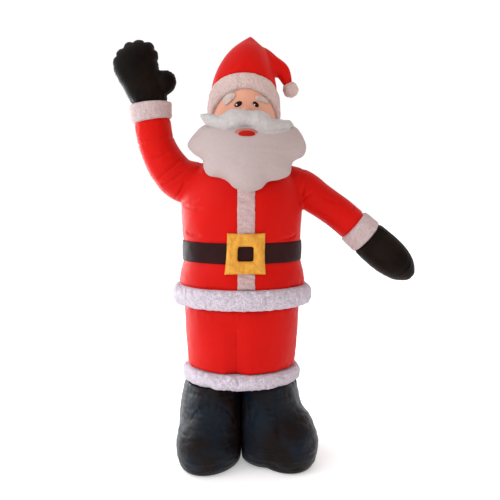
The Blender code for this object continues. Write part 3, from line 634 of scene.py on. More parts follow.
@dataclass(frozen=True)
class Plush:
    """Short pile that lies in small ruffled tufts."""

    slot: str
    light: Colour
    deep: Colour
    warm: Colour
    tuft: float = 0.012
    relief: float = 0.004
    part: float = 0.3

    def material(self) -> bpy.types.Material:
        """The procedural material."""
        shader = Shader(self.slot + "_pile")
        tufts = shader.grain(self.tuft, 3.0)
        strands = shader.grain(self.tuft * 0.5, 3.0, (1.0, 1.0, 0.4))
        base = shader.ramp(
            tufts * 0.45 + strands * 0.45 + shader.grain(0.05, 2.0) * 0.1,
            ((0.36, self.deep), (0.50, self.warm), (0.60, self.light))
        )
        upright_lines = shader.parting(self.tuft * 2.2, (1.6, 1.6, 0.8))
        level_lines = shader.parting(self.tuft * 3.0, (0.9, 0.9, 1.5))
        flat = upright_lines * level_lines
        # Along the lines where the pile parts, the deep colour is painted shade for those creases.
        shader.dress(shader.mixed(flat, self.deep, base), strands * 0.1 + 0.88, 0.05)
        shader.bumped(tufts * 0.7 + strands * 0.7 + flat * self.part, self.relief)
        shader.sheen(0.05, 0.6, (1.0, 0.98, 1.0))
        return shader.material


@dataclass(frozen=True)
class Satin:
    """Shiny stuffed cloth; the shade of its folds is painted as darker patches at random."""

    slot: str
    light: Colour
    deep: Colour
    roughness: float = 0.38
    gleam: float = 0.25

    def material(self) -> bpy.types.Material:
        """The procedural material."""
        shader = Shader(self.slot + "_cloth")
        # The deep colour is painted shade, in random patches, standing in for the shade of the folds.
        patches = shader.rise(shader.grain(0.035, 3.0, (1.4, 1.0, 0.7)), 0.36, 0.72)
        rough = shader.grain(0.02) * 0.15 + (self.roughness - 0.07)
        shader.dress(shader.mixed(patches, self.light, self.deep), rough, self.gleam)
        shader.bumped(shader.grain(0.016, 3.0) + shader.threads(0.0011, "DIAGONAL") * 0.08, 0.0016)
        return shader.material


@dataclass(frozen=True)
class EyeCloth:
    """Near-black cloth with a white glint printed on it."""

    slot: str
    glint: Triple
    size: float = 0.0042
    colour: Colour = (0.010, 0.004, 0.003)
    glint_colour: Colour = (0.75, 0.72, 0.70)

    def material(self) -> bpy.types.Material:
        """The procedural material."""
        shader = Shader(self.slot + "_print")
        away = shader.value(
            "ShaderNodeVectorMath", {"operation": "DISTANCE"}, {0: shader.place, 1: self.glint}, "Value"
        )
        off_glint = shader.rise(away, self.size, self.size * 1.5)
        colour = shader.mixed(off_glint, self.glint_colour, self.colour)
        shader.dress(colour, shader.grain(0.01) * 0.1 + 0.3, 0.1)
        shader.bumped(shader.threads(0.0011, "Z") * shader.threads(0.0011, "X"), 0.0002)
        return shader.material


RED = Nylon("red_nylon", (0.56, 0.004, 0.001), (0.51, 0.003, 0.001), 0.50, 0.08, 0.03)
# The boots' bluish light tone and brownish deep tone are painted sheen: bluish for the cool light's sheen,
# brownish for the warm light's, set in patches at random.
BLACK = Nylon(
    "black_nylon", (0.004, 0.009, 0.016), (0.0060, 0.0019, 0.0010), 0.34, 0.11, 0.0,
    crumple=0.010, patch=0.13
)
MITTEN_BLACK = Nylon(
    "black_nylon", (0.010, 0.0055, 0.0035), (0.003, 0.002, 0.0016), 0.50, 0.05, 0.0,
    crumple=0.0020, patch=0.15
)
BELT_DARK = Nylon("belt_nylon", (0.030, 0.009, 0.009), (0.018, 0.005, 0.005), 0.5, 0.05, 0.0)
SKIN = Nylon("skin_nylon", (0.75, 0.39, 0.27), (0.68, 0.325, 0.22), 0.55, 0.10, 0.0)
LIP = Nylon("skin_nylon", (0.45, 0.175, 0.145), (0.40, 0.145, 0.12), 0.5, 0.10, 0.0)
MOUTH = Nylon("mouth_red", (0.44, 0.009, 0.004), (0.37, 0.007, 0.003), 0.4, 0.08, 0.0)
FUR = Plush("white_plush", (0.70, 0.635, 0.70), (0.56, 0.49, 0.56), (0.67, 0.60, 0.665), 0.010, 0.010, 0.3)
CUFF_FUR = Plush("white_plush", (0.58, 0.465, 0.455), (0.50, 0.39, 0.38), (0.55, 0.43, 0.42), 0.009, 0.004)
TRIM_FUR = Plush("white_plush", (0.58, 0.42, 0.41), (0.47, 0.335, 0.33), (0.55, 0.39, 0.38), 0.009, 0.004)
BEARD_FUR = Plush(
    "white_plush", (0.46, 0.38, 0.36), (0.42, 0.345, 0.33), (0.44, 0.36, 0.345), 0.006, 0.001
)
MOUSTACHE_FUR = Plush(
    "white_plush", (0.54, 0.51, 0.495), (0.46, 0.43, 0.42), (0.51, 0.48, 0.465), 0.007, 0.003
)
BROW_FUR = Plush("white_plush", (0.68, 0.55, 0.49), (0.54, 0.43, 0.375), (0.62, 0.50, 0.44), 0.008, 0.004)
HAIR_FUR = Plush(
    "white_plush", (0.69, 0.52, 0.48), (0.55, 0.41, 0.375), (0.64, 0.485, 0.445), 0.009, 0.009, 0.1
)
GOLD = Satin("gold_satin", (0.70, 0.335, 0.038), (0.55, 0.235, 0.016))


@dataclass
class Figure:
    """Everything made so far: the cloths by name, and the way that each becomes a piece."""

    axis: Vector
    view: Viewpoint = field(default_factory=Viewpoint)
    cloths: dict[str, Cloth] = field(default_factory=dict)
    made: dict[object, bpy.types.Material] = field(default_factory=dict)

    def add(self, node: str, cloth: Cloth, finish: object, fill: float = 0.9) -> None:
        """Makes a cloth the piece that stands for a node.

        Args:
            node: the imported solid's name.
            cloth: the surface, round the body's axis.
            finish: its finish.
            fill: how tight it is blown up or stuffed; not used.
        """
        self.cloths[node] = cloth
        if finish not in self.made:
            self.made[finish] = finish.material()
        mesh = cloth.mesh.copy()
        mesh.name = node + "_cloth"
        mesh.transform(Matrix.Translation(self.axis))
        mesh.shade_smooth()
        mesh.materials.clear()
        mesh.materials.append(self.made[finish])
        piece = linked(node + "_cloth", mesh)
        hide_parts(node)
        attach(piece, "root")
        self.report(node, piece)

    def report(self, node: str, piece: bpy.types.Object) -> None:
        """Logs a piece's triangles and how far its box stands out of the solid's."""
        low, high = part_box(node)
        corners = np.array([corner.co for corner in piece.data.vertices])
        past = max(max(low - Vector(corners.min(axis=0))), max(Vector(corners.max(axis=0)) - high))
        triangles = sum(len(face.vertices) - 2 for face in piece.data.polygons)
        LOG.info("%s: %d triangles, at most %.1f mm past its solid", node, triangles, past * 1000)

    @property
    def neck(self) -> float:
        """Level of the head's lower end."""
        return self.levels("head")[0]

    def levels(self, node: str) -> tuple[float, float]:
        """Lowest and highest level of a node."""
        low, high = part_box(node)
        return low.z, high.z

    def trees(self, *nodes: str) -> list[BVHTree]:
        """Search trees of some cloths."""
        return [self.cloths[node].tree() for node in nodes]


def pile(points: Points, seed: int, coarse: float = 0.0030, fine: float = 0.0014) -> np.ndarray:
    """Heights of ruffled pile: soft lumps with smaller ones on them."""
    lumps = coarse * noise(points, (0.030, 0.030, 0.038), seed)
    return lumps + fine * noise(points, 0.013, seed + 1)


@dataclass
class Boots:
    """Two fat boots that press against each other, flat where they stand."""

    shaft_half_across: float = 0.182
    shaft_half_depth: float = 0.292
    shaft_reach: dict[Side, float] = field(default_factory=lambda: {Side.RIGHT: 0.337, Side.LEFT: 0.331})
    toe_half_width: float = 0.192
    toe_rise: float = 0.120
    toe_tall: float = 0.228
    toe_long: float = 0.300
    toe_forward: dict[Side, float] = field(default_factory=lambda: {Side.RIGHT: 0.115, Side.LEFT: 0.088})
    toe_reach: dict[Side, float] = field(default_factory=lambda: {Side.RIGHT: 0.360, Side.LEFT: 0.427})
    toe_out: float = math.radians(14)
    hem_across: float = 0.31
    hem_depth: float = 0.27
    voxel: float = 0.0062
    give: float = 0.010

    def shaft(self, side: Side, top: float) -> Cloth:
        """The leg of a boot, drawn past the hem that cuts it."""
        steps = (
            (-0.06, 0.85), (0.00, 0.92), (0.12, 1.08), (0.35, 1.18), (0.55, 1.17), (0.73, 1.09),
            (1.0, 0.92), (1.08, 0.89)
        )
        half = self.shaft_half_across
        rows = spline(steps, np.linspace(0, 1, 40))
        middle = LEGS_SHIFT + side.value * (self.shaft_reach[side] - half)
        return Cloth.woven(ovals(
            upright(rows[:, 0] * top, middle), half * rows[:, 1], self.shaft_half_depth * rows[:, 1], 72
        ))

    def toe(self, side: Side) -> Cloth:
        """The rounded front of a boot, turned out."""
        half = self.toe_half_width
        angle = np.linspace(-math.pi / 2, math.pi / 2, 40)[1:-1]
        share = np.cos(angle) ** 0.9
        rings = ovals(upright(self.toe_tall * np.sin(angle)), half * share, self.toe_long * share, 90)
        rings = turned(rings, side.value * self.toe_out)
        shift = LEGS_SHIFT + side.value * (self.toe_reach[side] - half)
        return Cloth.woven(rings + np.array([shift, -self.toe_forward[side], self.toe_rise]))

    def pressed(self, cloth: Cloth, side: Side) -> Cloth:
        """Flattens a boot softly on the floor and against the other one."""
        points = cloth.points
        points[:, 2] = self.give * np.logaddexp(0, points[:, 2] / self.give)
        inner = (points[:, 0] - LEGS_SHIFT) * side.value - SEAM_GAP
        inner = SEAM_GAP + self.give * np.logaddexp(0, inner / self.give)
        points[:, 0] = LEGS_SHIFT + side.value * inner
        return cloth.placed(points)

    def seams(self, cloth: Cloth, side: Side, view: Viewpoint) -> list[Seam]:
        """The seam over the vamp and the folds at the ankle and the hem, where the photograph has them."""
        vamps = {
            Side.RIGHT: [((187, 428), (196, 412), (212, 404), (228, 411), (238, 428))],
            Side.LEFT: [((251, 428), (255, 412), (261, 400)), ((274, 402), (278, 420), (279, 446))],
        }
        folds = {
            Side.RIGHT: [((185, 392), (205, 396), (228, 394)), ((191, 386), (200, 391), (213, 393))],
            Side.LEFT: [((252, 392), (268, 390), (288, 387)), ((262, 397), (275, 399), (290, 396)),
                        ((247, 402), (249, 415), (248, 430))],
        }
        kinds = (
            (vamps[side], (0.005, 0.009, 0.004, 0.035, 0.017)),
            (folds[side], (0.0045, 0.010, 0.002, 0.030, 0.022)),
        )
        return [
            Seam(view.onto(cloth, line), *sizes, fades=True)
            for lines, sizes in kinds for line in lines
        ]

    def build(self, figure: Figure) -> None:
        """Makes both boots."""
        for side, node in ((Side.RIGHT, "boot_right"), (Side.LEFT, "boot_left")):
            top = figure.levels(node)[1]
            cloth = self.shaft(side, top).fused(self.voxel, self.toe(side), rounds=14)
            rise = cloth.points[:, 2:]
            ankle = smooth_step(rise, 0.10, 0.24) * (1 - smooth_step(rise, 0.36, 0.44))
            cloth = self.pressed(cloth.eased(120, 0.5, 0.0, ankle), side)
            across, deep = np.array([self.hem_across]), np.array([self.hem_depth])
            hem = ovals(upright(np.array([top]), LEGS_SHIFT), across, deep, 60)[0]
            seams = self.seams(cloth, side, figure.view)
            seams.append(Seam(loop_of(hem), 0.006, 0.02, 0.004, 0.07, 0.035))
            points = cloth.points
            free = smooth_step(points[:, 2], 0.0, 0.05) * smooth_step(
                np.abs(points[:, 0] - LEGS_SHIFT), 0.0, 0.03
            )
            heights = 0.004 * noise(points, 0.16, 3) + 0.0030 * noise(points, 0.07, 4)
            heights += 0.0026 * noise(points, (0.070, 0.070, 0.016), 9)
            heights += sum(seam.relief(points) for seam in seams)
            cloth = cloth.pushed(heights * free)
            figure.add(node, cloth.cut((0, 0, top), (0, 0, 1)), BLACK)


@dataclass
class Band:
    """A rolled plush band round the body, with a seam at its front."""

    node: str
    across: float
    deep: float
    swell: float
    turn: float
    shift: float
    seam: tuple[Pair, ...]
    notch: float = 0.006
    sides: int = 400
    sink: float = 0.030

    def build(self, figure: Figure) -> None:
        """Makes the band between the levels of its node."""
        low, high = figure.levels(self.node)
        angle = np.linspace(-math.pi / 2, math.pi / 2, 34)
        rise = 0.5 + 0.5 * np.sign(np.sin(angle)) * np.abs(np.sin(angle)) ** 0.9
        out = self.swell * np.clip(np.cos(angle), 0.0, 1) ** 0.85
        rise = np.concatenate([[0.0], rise, [1.0]])
        out = np.concatenate([[-self.sink], out, [-self.sink]])
        rings = ovals(
            upright(low + rise * (high - low), self.shift), self.across + out, self.deep + out,
            self.sides, self.turn
        )
        cloth = Cloth.woven(rings)
        points = cloth.points
        loose = np.clip(np.repeat(out, self.sides) / self.swell, 0, 1)
        arc = np.tile(np.arange(self.sides) / self.sides, len(rise)) * 2 * math.pi * self.across
        up = points[:, 2]
        ruffle = ripples(arc / 0.034 + up / 0.10, up / 0.10, 8)
        edge = 1 - loose ** 3
        fine = ripples(arc / 0.013 + up / 0.030, up / 0.035, 9)
        heights = (0.0062 * ruffle + 0.0040 * fine) * (0.45 + edge) + pile(points, 11)
        line = figure.view.onto(cloth, self.seam)
        heights += Seam(line, self.notch, 0.008, 0.003, 0.03, 0.02).relief(points)
        figure.add(self.node, cloth.pushed(heights * np.sqrt(loose)).between(low, high), FUR)


@dataclass
class Trousers:
    """One tube for both legs, with a valley down its front."""

    top_across: float = 0.333
    hem_across: float = 0.310
    depth_share: float = 0.92
    valley: float = 0.020
    sides: int = 380

    def build(self, figure: Figure) -> None:
        """Makes the tube between the two plush bands."""
        low, high = figure.levels("trousers")
        share = np.linspace(0, 1, 96)
        across = self.hem_across + (self.top_across - self.hem_across) * share
        across = across + 0.004 * np.sin(math.pi * share)
        rings = ovals(upright(low + share * (high - low)), across, across * self.depth_share, self.sides)
        at_front = np.exp(-(rings[..., 0] / 0.045) ** 2) * (rings[..., 1] < 0)
        rings[..., 1] += self.valley * at_front * (1 - 0.8 * share[:, None])
        rings = turned(rings, LEGS_TURN)
        rings[..., 0] += LEGS_SHIFT
        cloth = Cloth.woven(rings)
        seams = [
            Seam(loop_of(rings[0][::4]), 0.007, 0.010, 0.0035, 0.060, 0.032),
            Seam(loop_of(rings[-1][::4]), 0.007, 0.010, 0.0035, 0.055, 0.032, seed=6),
            Seam(rings[:66:3, 0], 0.0045, 0.006, 0.0018, 0.022, 0.022),
            *(Seam(rings[::4, spot], 0.003, 0.006, 0.002, 0.030, 0.026) for spot in (95, 190, 285)),
        ]
        figure.add("trousers", cloth.sewn(seams, 0.0035, 21).between(low, high), RED)


@dataclass
class Arm:
    """A sleeve along a curve in the plane of the arms: places from the shoulder seam, across and up."""

    shoulder: Pair
    steps: tuple[Pair, ...]
    radii: tuple[float, ...]
    past: float = 0.03

    def path(self, count: int) -> tuple[Points, np.ndarray]:
        """Middle points and radii of the sleeve."""
        shares = np.linspace(0, 1, count)
        flat = spline(self.steps, shares) + np.array(self.shoulder)
        return in_space(flat), spline([(radius,) for radius in self.radii], shares)[:, 0]

    @property
    def end(self) -> tuple[Points, Points]:
        """The middle of the sleeve's end and the direction that it points in."""
        path, _ = self.path(101)
        return path[-1], heading(path)

    def cloth(self) -> Cloth:
        """The sleeve, drawn past its end."""
        path, radii = self.path(70)
        place, ahead = self.end
        path = np.concatenate([path, [place + ahead * self.past]])
        radii = np.append(radii, radii[-1])
        return Cloth.woven(tube(path, radii, radii, 72))

    def ring(self, share: float) -> Points:
        """A closed line round the sleeve at a share of its length."""
        path, radii = self.path(101)
        rings = tube(path, radii, radii, 48)
        return loop_of(rings[round(share * 100)])


@dataclass
class Coat:
    """The coat's body and both sleeves in one cloth."""

    hem: Pair = (0.361, 0.322)
    skirt: Pair = (0.355, 0.316)
    waist: Pair = (0.337, 0.305)
    chest: Pair = (0.346, 0.304)
    shoulder: Pair = (0.310, 0.268)
    neck: Pair = (0.150, 0.155)
    belt_rise: float = 0.141
    belt_height: float = 0.110
    chest_rise: float = 0.430
    shoulder_rise: float = 0.600
    neck_rise: float = 0.722
    voxel: float = 0.0056
    raised: Arm = field(default_factory=lambda: Arm(
        (-0.295, 0.590),
        ((0.100, -0.020), (-0.040, 0.000), (-0.122, 0.070), (-0.192, 0.204), (-0.216, 0.337)),
        (0.120, 0.124, 0.116, 0.105, 0.104)
    ))
    lowered: Arm = field(default_factory=lambda: Arm(
        (0.300, 0.565),
        ((-0.120, 0.035), (0.030, -0.010), (0.140, -0.077), (0.248, -0.153), (0.339, -0.230)),
        (0.100, 0.104, 0.098, 0.094, 0.093)
    ))

    def profile(self) -> np.ndarray:
        """Rows of height above the hem, half width and half depth."""
        low = np.array([self.chest_rise, *self.chest])
        knee = np.array([self.shoulder_rise, *self.shoulder])
        high = np.array([self.neck_rise, *self.neck])
        share = np.linspace(0, 1, 24)[:, None]
        control = 2 * knee - (low + high) / 2
        top = (1 - share) ** 2 * low + 2 * share * (1 - share) * control + share ** 2 * high
        rows = np.array([
            (-0.03, *self.hem), (0.0, *self.hem), (self.belt_rise / 2, *self.skirt),
            (self.belt_rise, *self.waist), (self.belt_rise + self.belt_height, *self.waist)
        ])
        rows = np.concatenate([rows, top])
        rises = np.linspace(-0.03, self.neck_rise, 150)
        drawn = np.stack([rises, *(np.interp(rises, rows[:, 0], rows[:, k]) for k in (1, 2))], -1)
        kernel = np.ones(7) / 7
        for column in (1, 2):
            padded = np.pad(drawn[:, column], 3, mode="edge")
            drawn[:, column] = np.convolve(padded, kernel, "valid")
        return drawn

    def seams(self, cloth: Cloth, base: float, figure: Figure) -> list[Seam]:
        """Hems, sleeve seams, side and back seams, and the folds that the photograph shows."""
        rows = self.profile()
        body = ovals(upright(base + rows[:, 0]), rows[:, 1], rows[:, 2], 72, COAT_TURN)
        seams = [
            Seam(loop_of(body[6]), 0.006, 0.010, 0.003, 0.055, 0.034),
            *(Seam(body[::3, spot], 0.003, 0.006, 0.002, 0.03, 0.026) for spot in (36, 54)),
            Seam(body[::3, 18], 0.003, 0.006, 0.002, 0.03, 0.026),
            Seam(body[::3, 0], 0.010, 0.055, 0.0, 0.03, 0.026),
            Seam(self.raised.ring(1.0), 0.005, 0.009, 0.003, 0.045, 0.030),
            Seam(self.raised.ring(0.79), 0.0045, 0.006, 0.002, 0.022, 0.022),
            Seam(self.raised.ring(0.10), 0.004, 0.012, 0.002, 0.035, 0.026),
            Seam(self.lowered.ring(1.0), 0.005, 0.009, 0.003, 0.045, 0.030, seed=7),
            Seam(self.lowered.ring(0.22), 0.002, 0.012, 0.002, 0.04, 0.030, seed=7),
        ]
        folds = (
            ((157, 180), (167, 171), (181, 160)), ((161, 186), (172, 180), (186, 170)),
            ((176, 206), (186, 203), (200, 198)), ((173, 201), (180, 192), (186, 180)),
            ((178, 204), (190, 208), (204, 208)), ((151, 158), (160, 156), (170, 152)),
            ((298, 206), (305, 198), (314, 192)), ((299, 204), (303, 192), (305, 180)),
            ((322, 196), (330, 200), (340, 203)),
            ((351, 214), (356, 204), (362, 197)), ((184, 262), (190, 258), (199, 258)),
            ((186, 232), (193, 235), (203, 236)), ((297, 234), (290, 238), (281, 239)),
        )
        for number, line in enumerate(folds):
            seams.append(Seam(
                figure.view.onto(cloth, line), 0.0090, 0.0075, 0.0015, 0.03, 0.03, fades=True, seed=number
            ))
        return seams

    def build(self, figure: Figure) -> None:
        """Makes the coat and cuts it level at its hem and square at the sleeves' ends."""
        base = figure.levels("coat")[0]
        for arm in (self.raised, self.lowered):
            arm.shoulder = (arm.shoulder[0], base + arm.shoulder[1])
        rows = self.profile()
        body = Cloth.woven(ovals(upright(base + rows[:, 0]), rows[:, 1], rows[:, 2], 200, COAT_TURN))
        cloth = body.fused(self.voxel, self.raised.cloth(), self.lowered.cloth(), rounds=10)
        points = cloth.points
        heights = 0.004 * noise(points, 0.20, 31) + 0.0016 * noise(points, 0.08, 32)
        for seam in self.seams(cloth, base, figure):
            heights += seam.relief(points)
        low = base + self.belt_rise
        high = low + self.belt_height
        under_belt = smooth_step(points[:, 2], low - 0.012, low + 0.004)
        under_belt *= 1 - smooth_step(points[:, 2], high - 0.004, high + 0.012)
        under_belt *= np.hypot(points[:, 0], points[:, 1]) < BODY_REACH
        heights = heights * (1 - under_belt) - 0.0025 * under_belt
        cloth = cloth.pushed(heights).cut((0, 0, base), (0, 0, -1))
        for arm in (self.raised, self.lowered):
            place, ahead = arm.end
            cloth = cloth.cut(place, ahead)
        figure.add("coat", cloth, RED)


@dataclass
class Belt:
    """A flat dark band round the waist, with slightly curled edges."""

    coat: Coat
    thick: float = 0.004
    sides: int = 400

    def build(self, figure: Figure) -> None:
        """Makes the band between the levels of its node."""
        low, high = figure.levels("belt")
        rise = np.linspace(0, 1, 15)
        outer = self.thick + 0.0035 * np.sin(math.pi * rise) ** 0.6
        rise = np.concatenate([rise, rise[::-7]])
        out = np.concatenate([outer, np.full(3, -0.0008)])
        across, deep = self.coat.waist
        rings = ovals(upright(low + rise * (high - low)), across + out, deep + out, self.sides, COAT_TURN)
        cloth = Cloth.woven(rings, Ends.JOINED)
        points = cloth.points
        outside = np.repeat(out > 0, self.sides)
        wave = noise(points, (0.10, 0.10, 0.3), 41) * 0.0022
        wave += noise(points, (0.04, 0.04, 0.03), 42) * 0.001
        cloth = cloth.pushed(wave * outside)
        figure.add("belt", cloth, BELT_DARK, 0.3)


@dataclass
class Trim:
    """A plush strip down the coat's front, gathered sideways."""

    node: str
    width: float = 0.094
    thick: float = 0.010
    row_height: float = 0.0035
    columns: int = 40

    def build(self, figure: Figure) -> None:
        """Makes the strip on the coat between the levels of its node."""
        low, high = figure.levels(self.node)
        rows = max(24, round((high - low) / self.row_height))
        side = np.sin(np.linspace(-math.pi / 2, math.pi / 2, self.columns))
        swell = (1 - np.abs(side) ** 3.2) ** 0.5
        up = np.linspace(low, high, rows)
        x = np.tile(side * self.width / 2, rows)
        z = np.repeat(up, self.columns)
        x = x + 0.0022 * noise(np.stack([np.sign(x), 0 * x, z / 0.022], -1), 1.0, 51) * np.abs(x) * 20
        flat = turned(np.stack([x, 0 * x, 0 * x], -1), COAT_TURN)
        back = landing(figure.trees("coat"), np.stack([flat[:, 0] + FRONT_SHIFT, 0 * x, z], -1))
        ends = np.minimum(z - low, high - z)
        loose = np.tile(swell, rows)
        ruffle = ripples(x / 0.05, z / 0.012 + x / 0.05, 52)
        bulk = self.thick * (0.25 + 0.9 * loose) + 0.0065 * ruffle * loose
        bulk *= 0.55 + 0.45 * smooth_step(ends, 0.0, 0.012)
        front = np.stack([flat[:, 0] + FRONT_SHIFT, back - bulk, z], -1).reshape(rows, self.columns, 3)
        rear = front.copy()
        rear[..., 1] = (back - SEAM_GAP).reshape(rows, self.columns)
        rings = np.concatenate([front, rear[:, ::-1]], axis=1)
        figure.add(self.node, Cloth.woven(rings), TRIM_FUR, 0.6)


@dataclass
class Buckle:
    """A gold cushion with pointed corners, mitred seams and a window over the belt."""

    coat: Coat
    width: float = 0.213
    height: float = 0.222
    window: float = 0.079
    window_across: float = 0.085
    thick: float = 0.020
    pinch: float = 0.004
    flare: float = 0.08
    skew: float = 0.0066
    shift: float = -0.0028
    per_side: int = 44
    across_steps: int = 26

    def outlines(self) -> tuple[Points, Points, np.ndarray]:
        """The outer edge, the window's edge and the distance from the nearest corner, as a share."""
        corners = ((-1, -1), (1, -1), (1, 1), (-1, 1))
        outer, inner, corner = [], [], []
        for number, start in enumerate(corners):
            end = corners[(number + 1) % 4]
            for share in np.arange(self.per_side) / self.per_side:
                u = start[0] + (end[0] - start[0]) * share
                v = start[1] + (end[1] - start[1]) * share
                drawn = self.pinch * math.sin(math.pi * share)
                outer.append((
                    u * self.width / 2 - (drawn * u if abs(u) == 1 else 0),
                    v * self.height / 2 - (drawn * v if abs(v) == 1 else 0)
                ))
                round_off = 1 - 0.10 * (1 - math.sin(math.pi * share)) ** 4
                inner.append((u * self.window_across / 2 * round_off, v * self.window / 2 * round_off))
                corner.append(min(share, 1 - share))
        return np.array(outer), np.array(inner), np.array(corner)

    def build(self, figure: Figure) -> None:
        """Makes the frame on the coat, the belt and the trims."""
        low, high = figure.levels("buckle")
        outer, inner, corner = self.outlines()
        share = 0.5 - 0.5 * np.cos(np.linspace(0, math.pi, self.across_steps))
        flat = inner[None] + (outer - inner)[None] * share[:, None, None]
        swell = (1 - np.abs(2 * share - 1) ** 2.4) ** 0.5
        mitre = np.exp(-(corner / 0.028) ** 2)
        bulk = self.thick * (0.18 + 0.95 * swell)[:, None] * (1 - 0.10 * mitre[None] * swell[:, None])
        spots = flat.reshape(-1, 2)
        rise = spots[:, 1] / self.height
        spots[:, 0] = spots[:, 0] * (1 - self.flare * rise) + self.skew * rise + self.shift
        x = turned(np.stack([spots[:, 0], 0 * spots[:, 0], 0 * spots[:, 0]], -1), COAT_TURN)
        places = np.stack([x[:, 0] + FRONT_SHIFT, 0 * x[:, 0], spots[:, 1] + (low + high) / 2], -1)
        targets = figure.trees("coat", "belt", "front_trim_upper", "front_trim_lower")
        back = landing(targets, places)
        drawn = self.coat.waist[1] + 0.0045
        curve = -drawn * np.sqrt(1 - (spots[:, 0] / self.coat.waist[0]) ** 2)
        front = np.minimum(curve, back) - bulk.ravel()
        sheet = in_space(spots)
        creases = 0.0050 * noise(sheet, 0.030, 61) - 0.0080 * np.abs(noise(sheet, (0.060, 1.0, 0.022), 62))
        front += creases * np.repeat(swell, len(corner))
        shape = (self.across_steps, len(corner), 3)
        ahead = np.stack([places[:, 0], front, places[:, 2]], -1).reshape(shape)
        behind = np.stack([places[:, 0], back - SEAM_GAP, places[:, 2]], -1).reshape(shape)
        rings = np.concatenate([ahead, behind[::-5]], axis=0)
        figure.add("buckle", Cloth.woven(rings, Ends.JOINED), GOLD, 0.8)


@dataclass
class Hand:
    """A plush cuff and a mitten at the end of a sleeve.

    Each row of the hand is a share of its length, half width, half depth and shift towards the thumb.
    lobes is how deep the fingertips' scallops are, and full how far the mitten swells past its rows.
    """

    name: str
    arm: Arm
    turn: float
    cuff_length: float
    length: float
    rows: tuple[tuple[float, float, float, float], ...]
    thumb_lean: float
    roll: float = 0.0
    lobes: float = 1.0
    full: float = 0.0
    cuff_swell: float = 0.014
    thumb_start: float = 0.050
    thumb_length: float = 0.182
    thumb_radius: float = 0.068
    palm_reach: float = 0.138
    palm_round: float = 0.135
    thumb_round: float = 0.075
    lobe_pitch: float = 0.060
    pucker_pitch: float = 0.017
    voxel: float = 0.0042

    def lean(self, points: Points, angle: float) -> Points:
        """Points turned in the plane of the arms."""
        return turned(points, angle, "Y")

    def cuff(self, figure: Figure) -> Points:
        """Makes the cuff, square to the sleeve at one end and to the hand at the other.

        Returns:
            The middle of the wrist.
        """
        place, ahead = self.arm.end
        sleeve = math.atan2(ahead[0], ahead[2])
        rise = np.linspace(0, 1, 40)
        share = np.interp(rise, (0, 0.08, 0.5, 0.92, 1), (0.94, 1.0, 1.0, 1.0, 0.92))
        swell = self.cuff_swell * (0.8 + 0.25 * rise) * np.clip(1 - np.abs(2 * rise - 1) ** 6, 0, 1) ** 0.5
        size = self.arm.radii[-1] * share + swell
        sides = 200
        rings = []
        for step, radius in zip(rise, size):
            angle = sleeve + (self.turn - sleeve) * step
            ring = ovals(np.zeros((1, 3)), np.array([radius]), np.array([radius]), sides)[0]
            ring[:, 2] += step * self.cuff_length
            middle = np.array([0.0, 0.0, step * self.cuff_length])
            rings.append(self.lean(ring - middle, angle) + self.lean(middle, angle))
        start = place + ahead * SEAM_GAP
        cloth = Cloth.woven(np.array(rings) + start)
        points = cloth.points
        steps = np.repeat(rise, sides)
        arc = np.tile(np.arange(sides) / sides, len(rise)) * 0.7
        loose = np.clip(1 - np.abs(2 * steps - 1) ** 6, 0, 1)
        ruffle = ripples(arc / 0.030, steps * 2.0, 71)
        heights = 0.0024 * ruffle * (0.4 + np.abs(2 * steps - 1)) + pile(points, 72, 0.0016, 0.0010)
        figure.add("cuff_" + self.name, cloth.pushed(heights * loose), CUFF_FUR)
        return start + self.lean(np.array([0.0, 0.0, self.cuff_length + SEAM_GAP]), self.turn)

    def palm_cloth(self) -> Cloth:
        """The hand part, drawn a little past the wrist."""
        _, across, deep, shift = self.rows[-1]
        tip = ((0.975, across * 0.56, deep * 0.56, shift), (1.0, 0.003, 0.003, shift))
        rows = spline(((-0.06, *self.rows[0][1:]), *self.rows, *tip), np.linspace(0, 1, 80))
        middles = upright(rows[:, 0] * self.length)
        middles[:, 0] = rows[:, 3]
        return Cloth.woven(ovals(middles, rows[:, 1], rows[:, 2], 80))

    def thumb_cloth(self) -> Cloth:
        """The thumb, leaning out of the hand."""
        steps = ((0.00, 0.80), (0.40, 1.00), (0.68, 0.98), (0.88, 0.66), (0.97, 0.30), (1.0, 0.02))
        rows = spline(steps, np.linspace(0, 1, 40))
        size = self.thumb_radius * rows[:, 1]
        rings = ovals(upright(rows[:, 0] * self.thumb_length), size, size * 0.95, 48)
        return Cloth.woven(self.lean(rings, self.thumb_lean) + np.array([0.0, 0.0, self.thumb_start]))

    def gathered(self, points: Points) -> np.ndarray:
        """Scallops along the seam round the hand and the thumb, deepest at the fingertips."""
        shift = self.rows[len(self.rows) // 2][3]
        off = points - np.array([shift, 0.0, self.length * 0.55])
        tip = self.lean(np.array([0.0, 0.0, self.thumb_length * 0.5]), self.thumb_lean)
        thumb_off = points - tip - np.array([0.0, 0.0, self.thumb_start])
        on_thumb = (off[:, 0] > self.palm_reach) & (points[:, 2] < self.length * 0.62)
        around = np.where(
            on_thumb, np.arctan2(thumb_off[:, 0], thumb_off[:, 2]) * self.thumb_round,
            np.arctan2(off[:, 0], off[:, 2]) * self.palm_round
        )
        rise = points[:, 2] / self.length
        tips = self.lobes * smooth_step(rise, 0.56, 0.72) * ~on_thumb
        near = np.exp(-(points[:, 1] / 0.038) ** 2)
        wide = 1 - np.abs(np.sin(math.pi * around / self.lobe_pitch + 0.5))
        small = 1 - np.abs(np.sin(math.pi * around / self.pucker_pitch + noise(points, 0.07, 75)))
        heights = (tips * (0.006 - 0.016 * wide ** 1.4) - 0.0032 * (1 - tips) * small ** 1.5) * near
        heights -= 0.0022 * np.exp(-(points[:, 1] / 0.006) ** 2)
        heights += 0.0018 * ripples(around / 0.020, 0 * around, 76) * np.exp(-(points[:, 1] / 0.050) ** 2)
        return heights * smooth_step(points[:, 2], 0.04, 0.14)

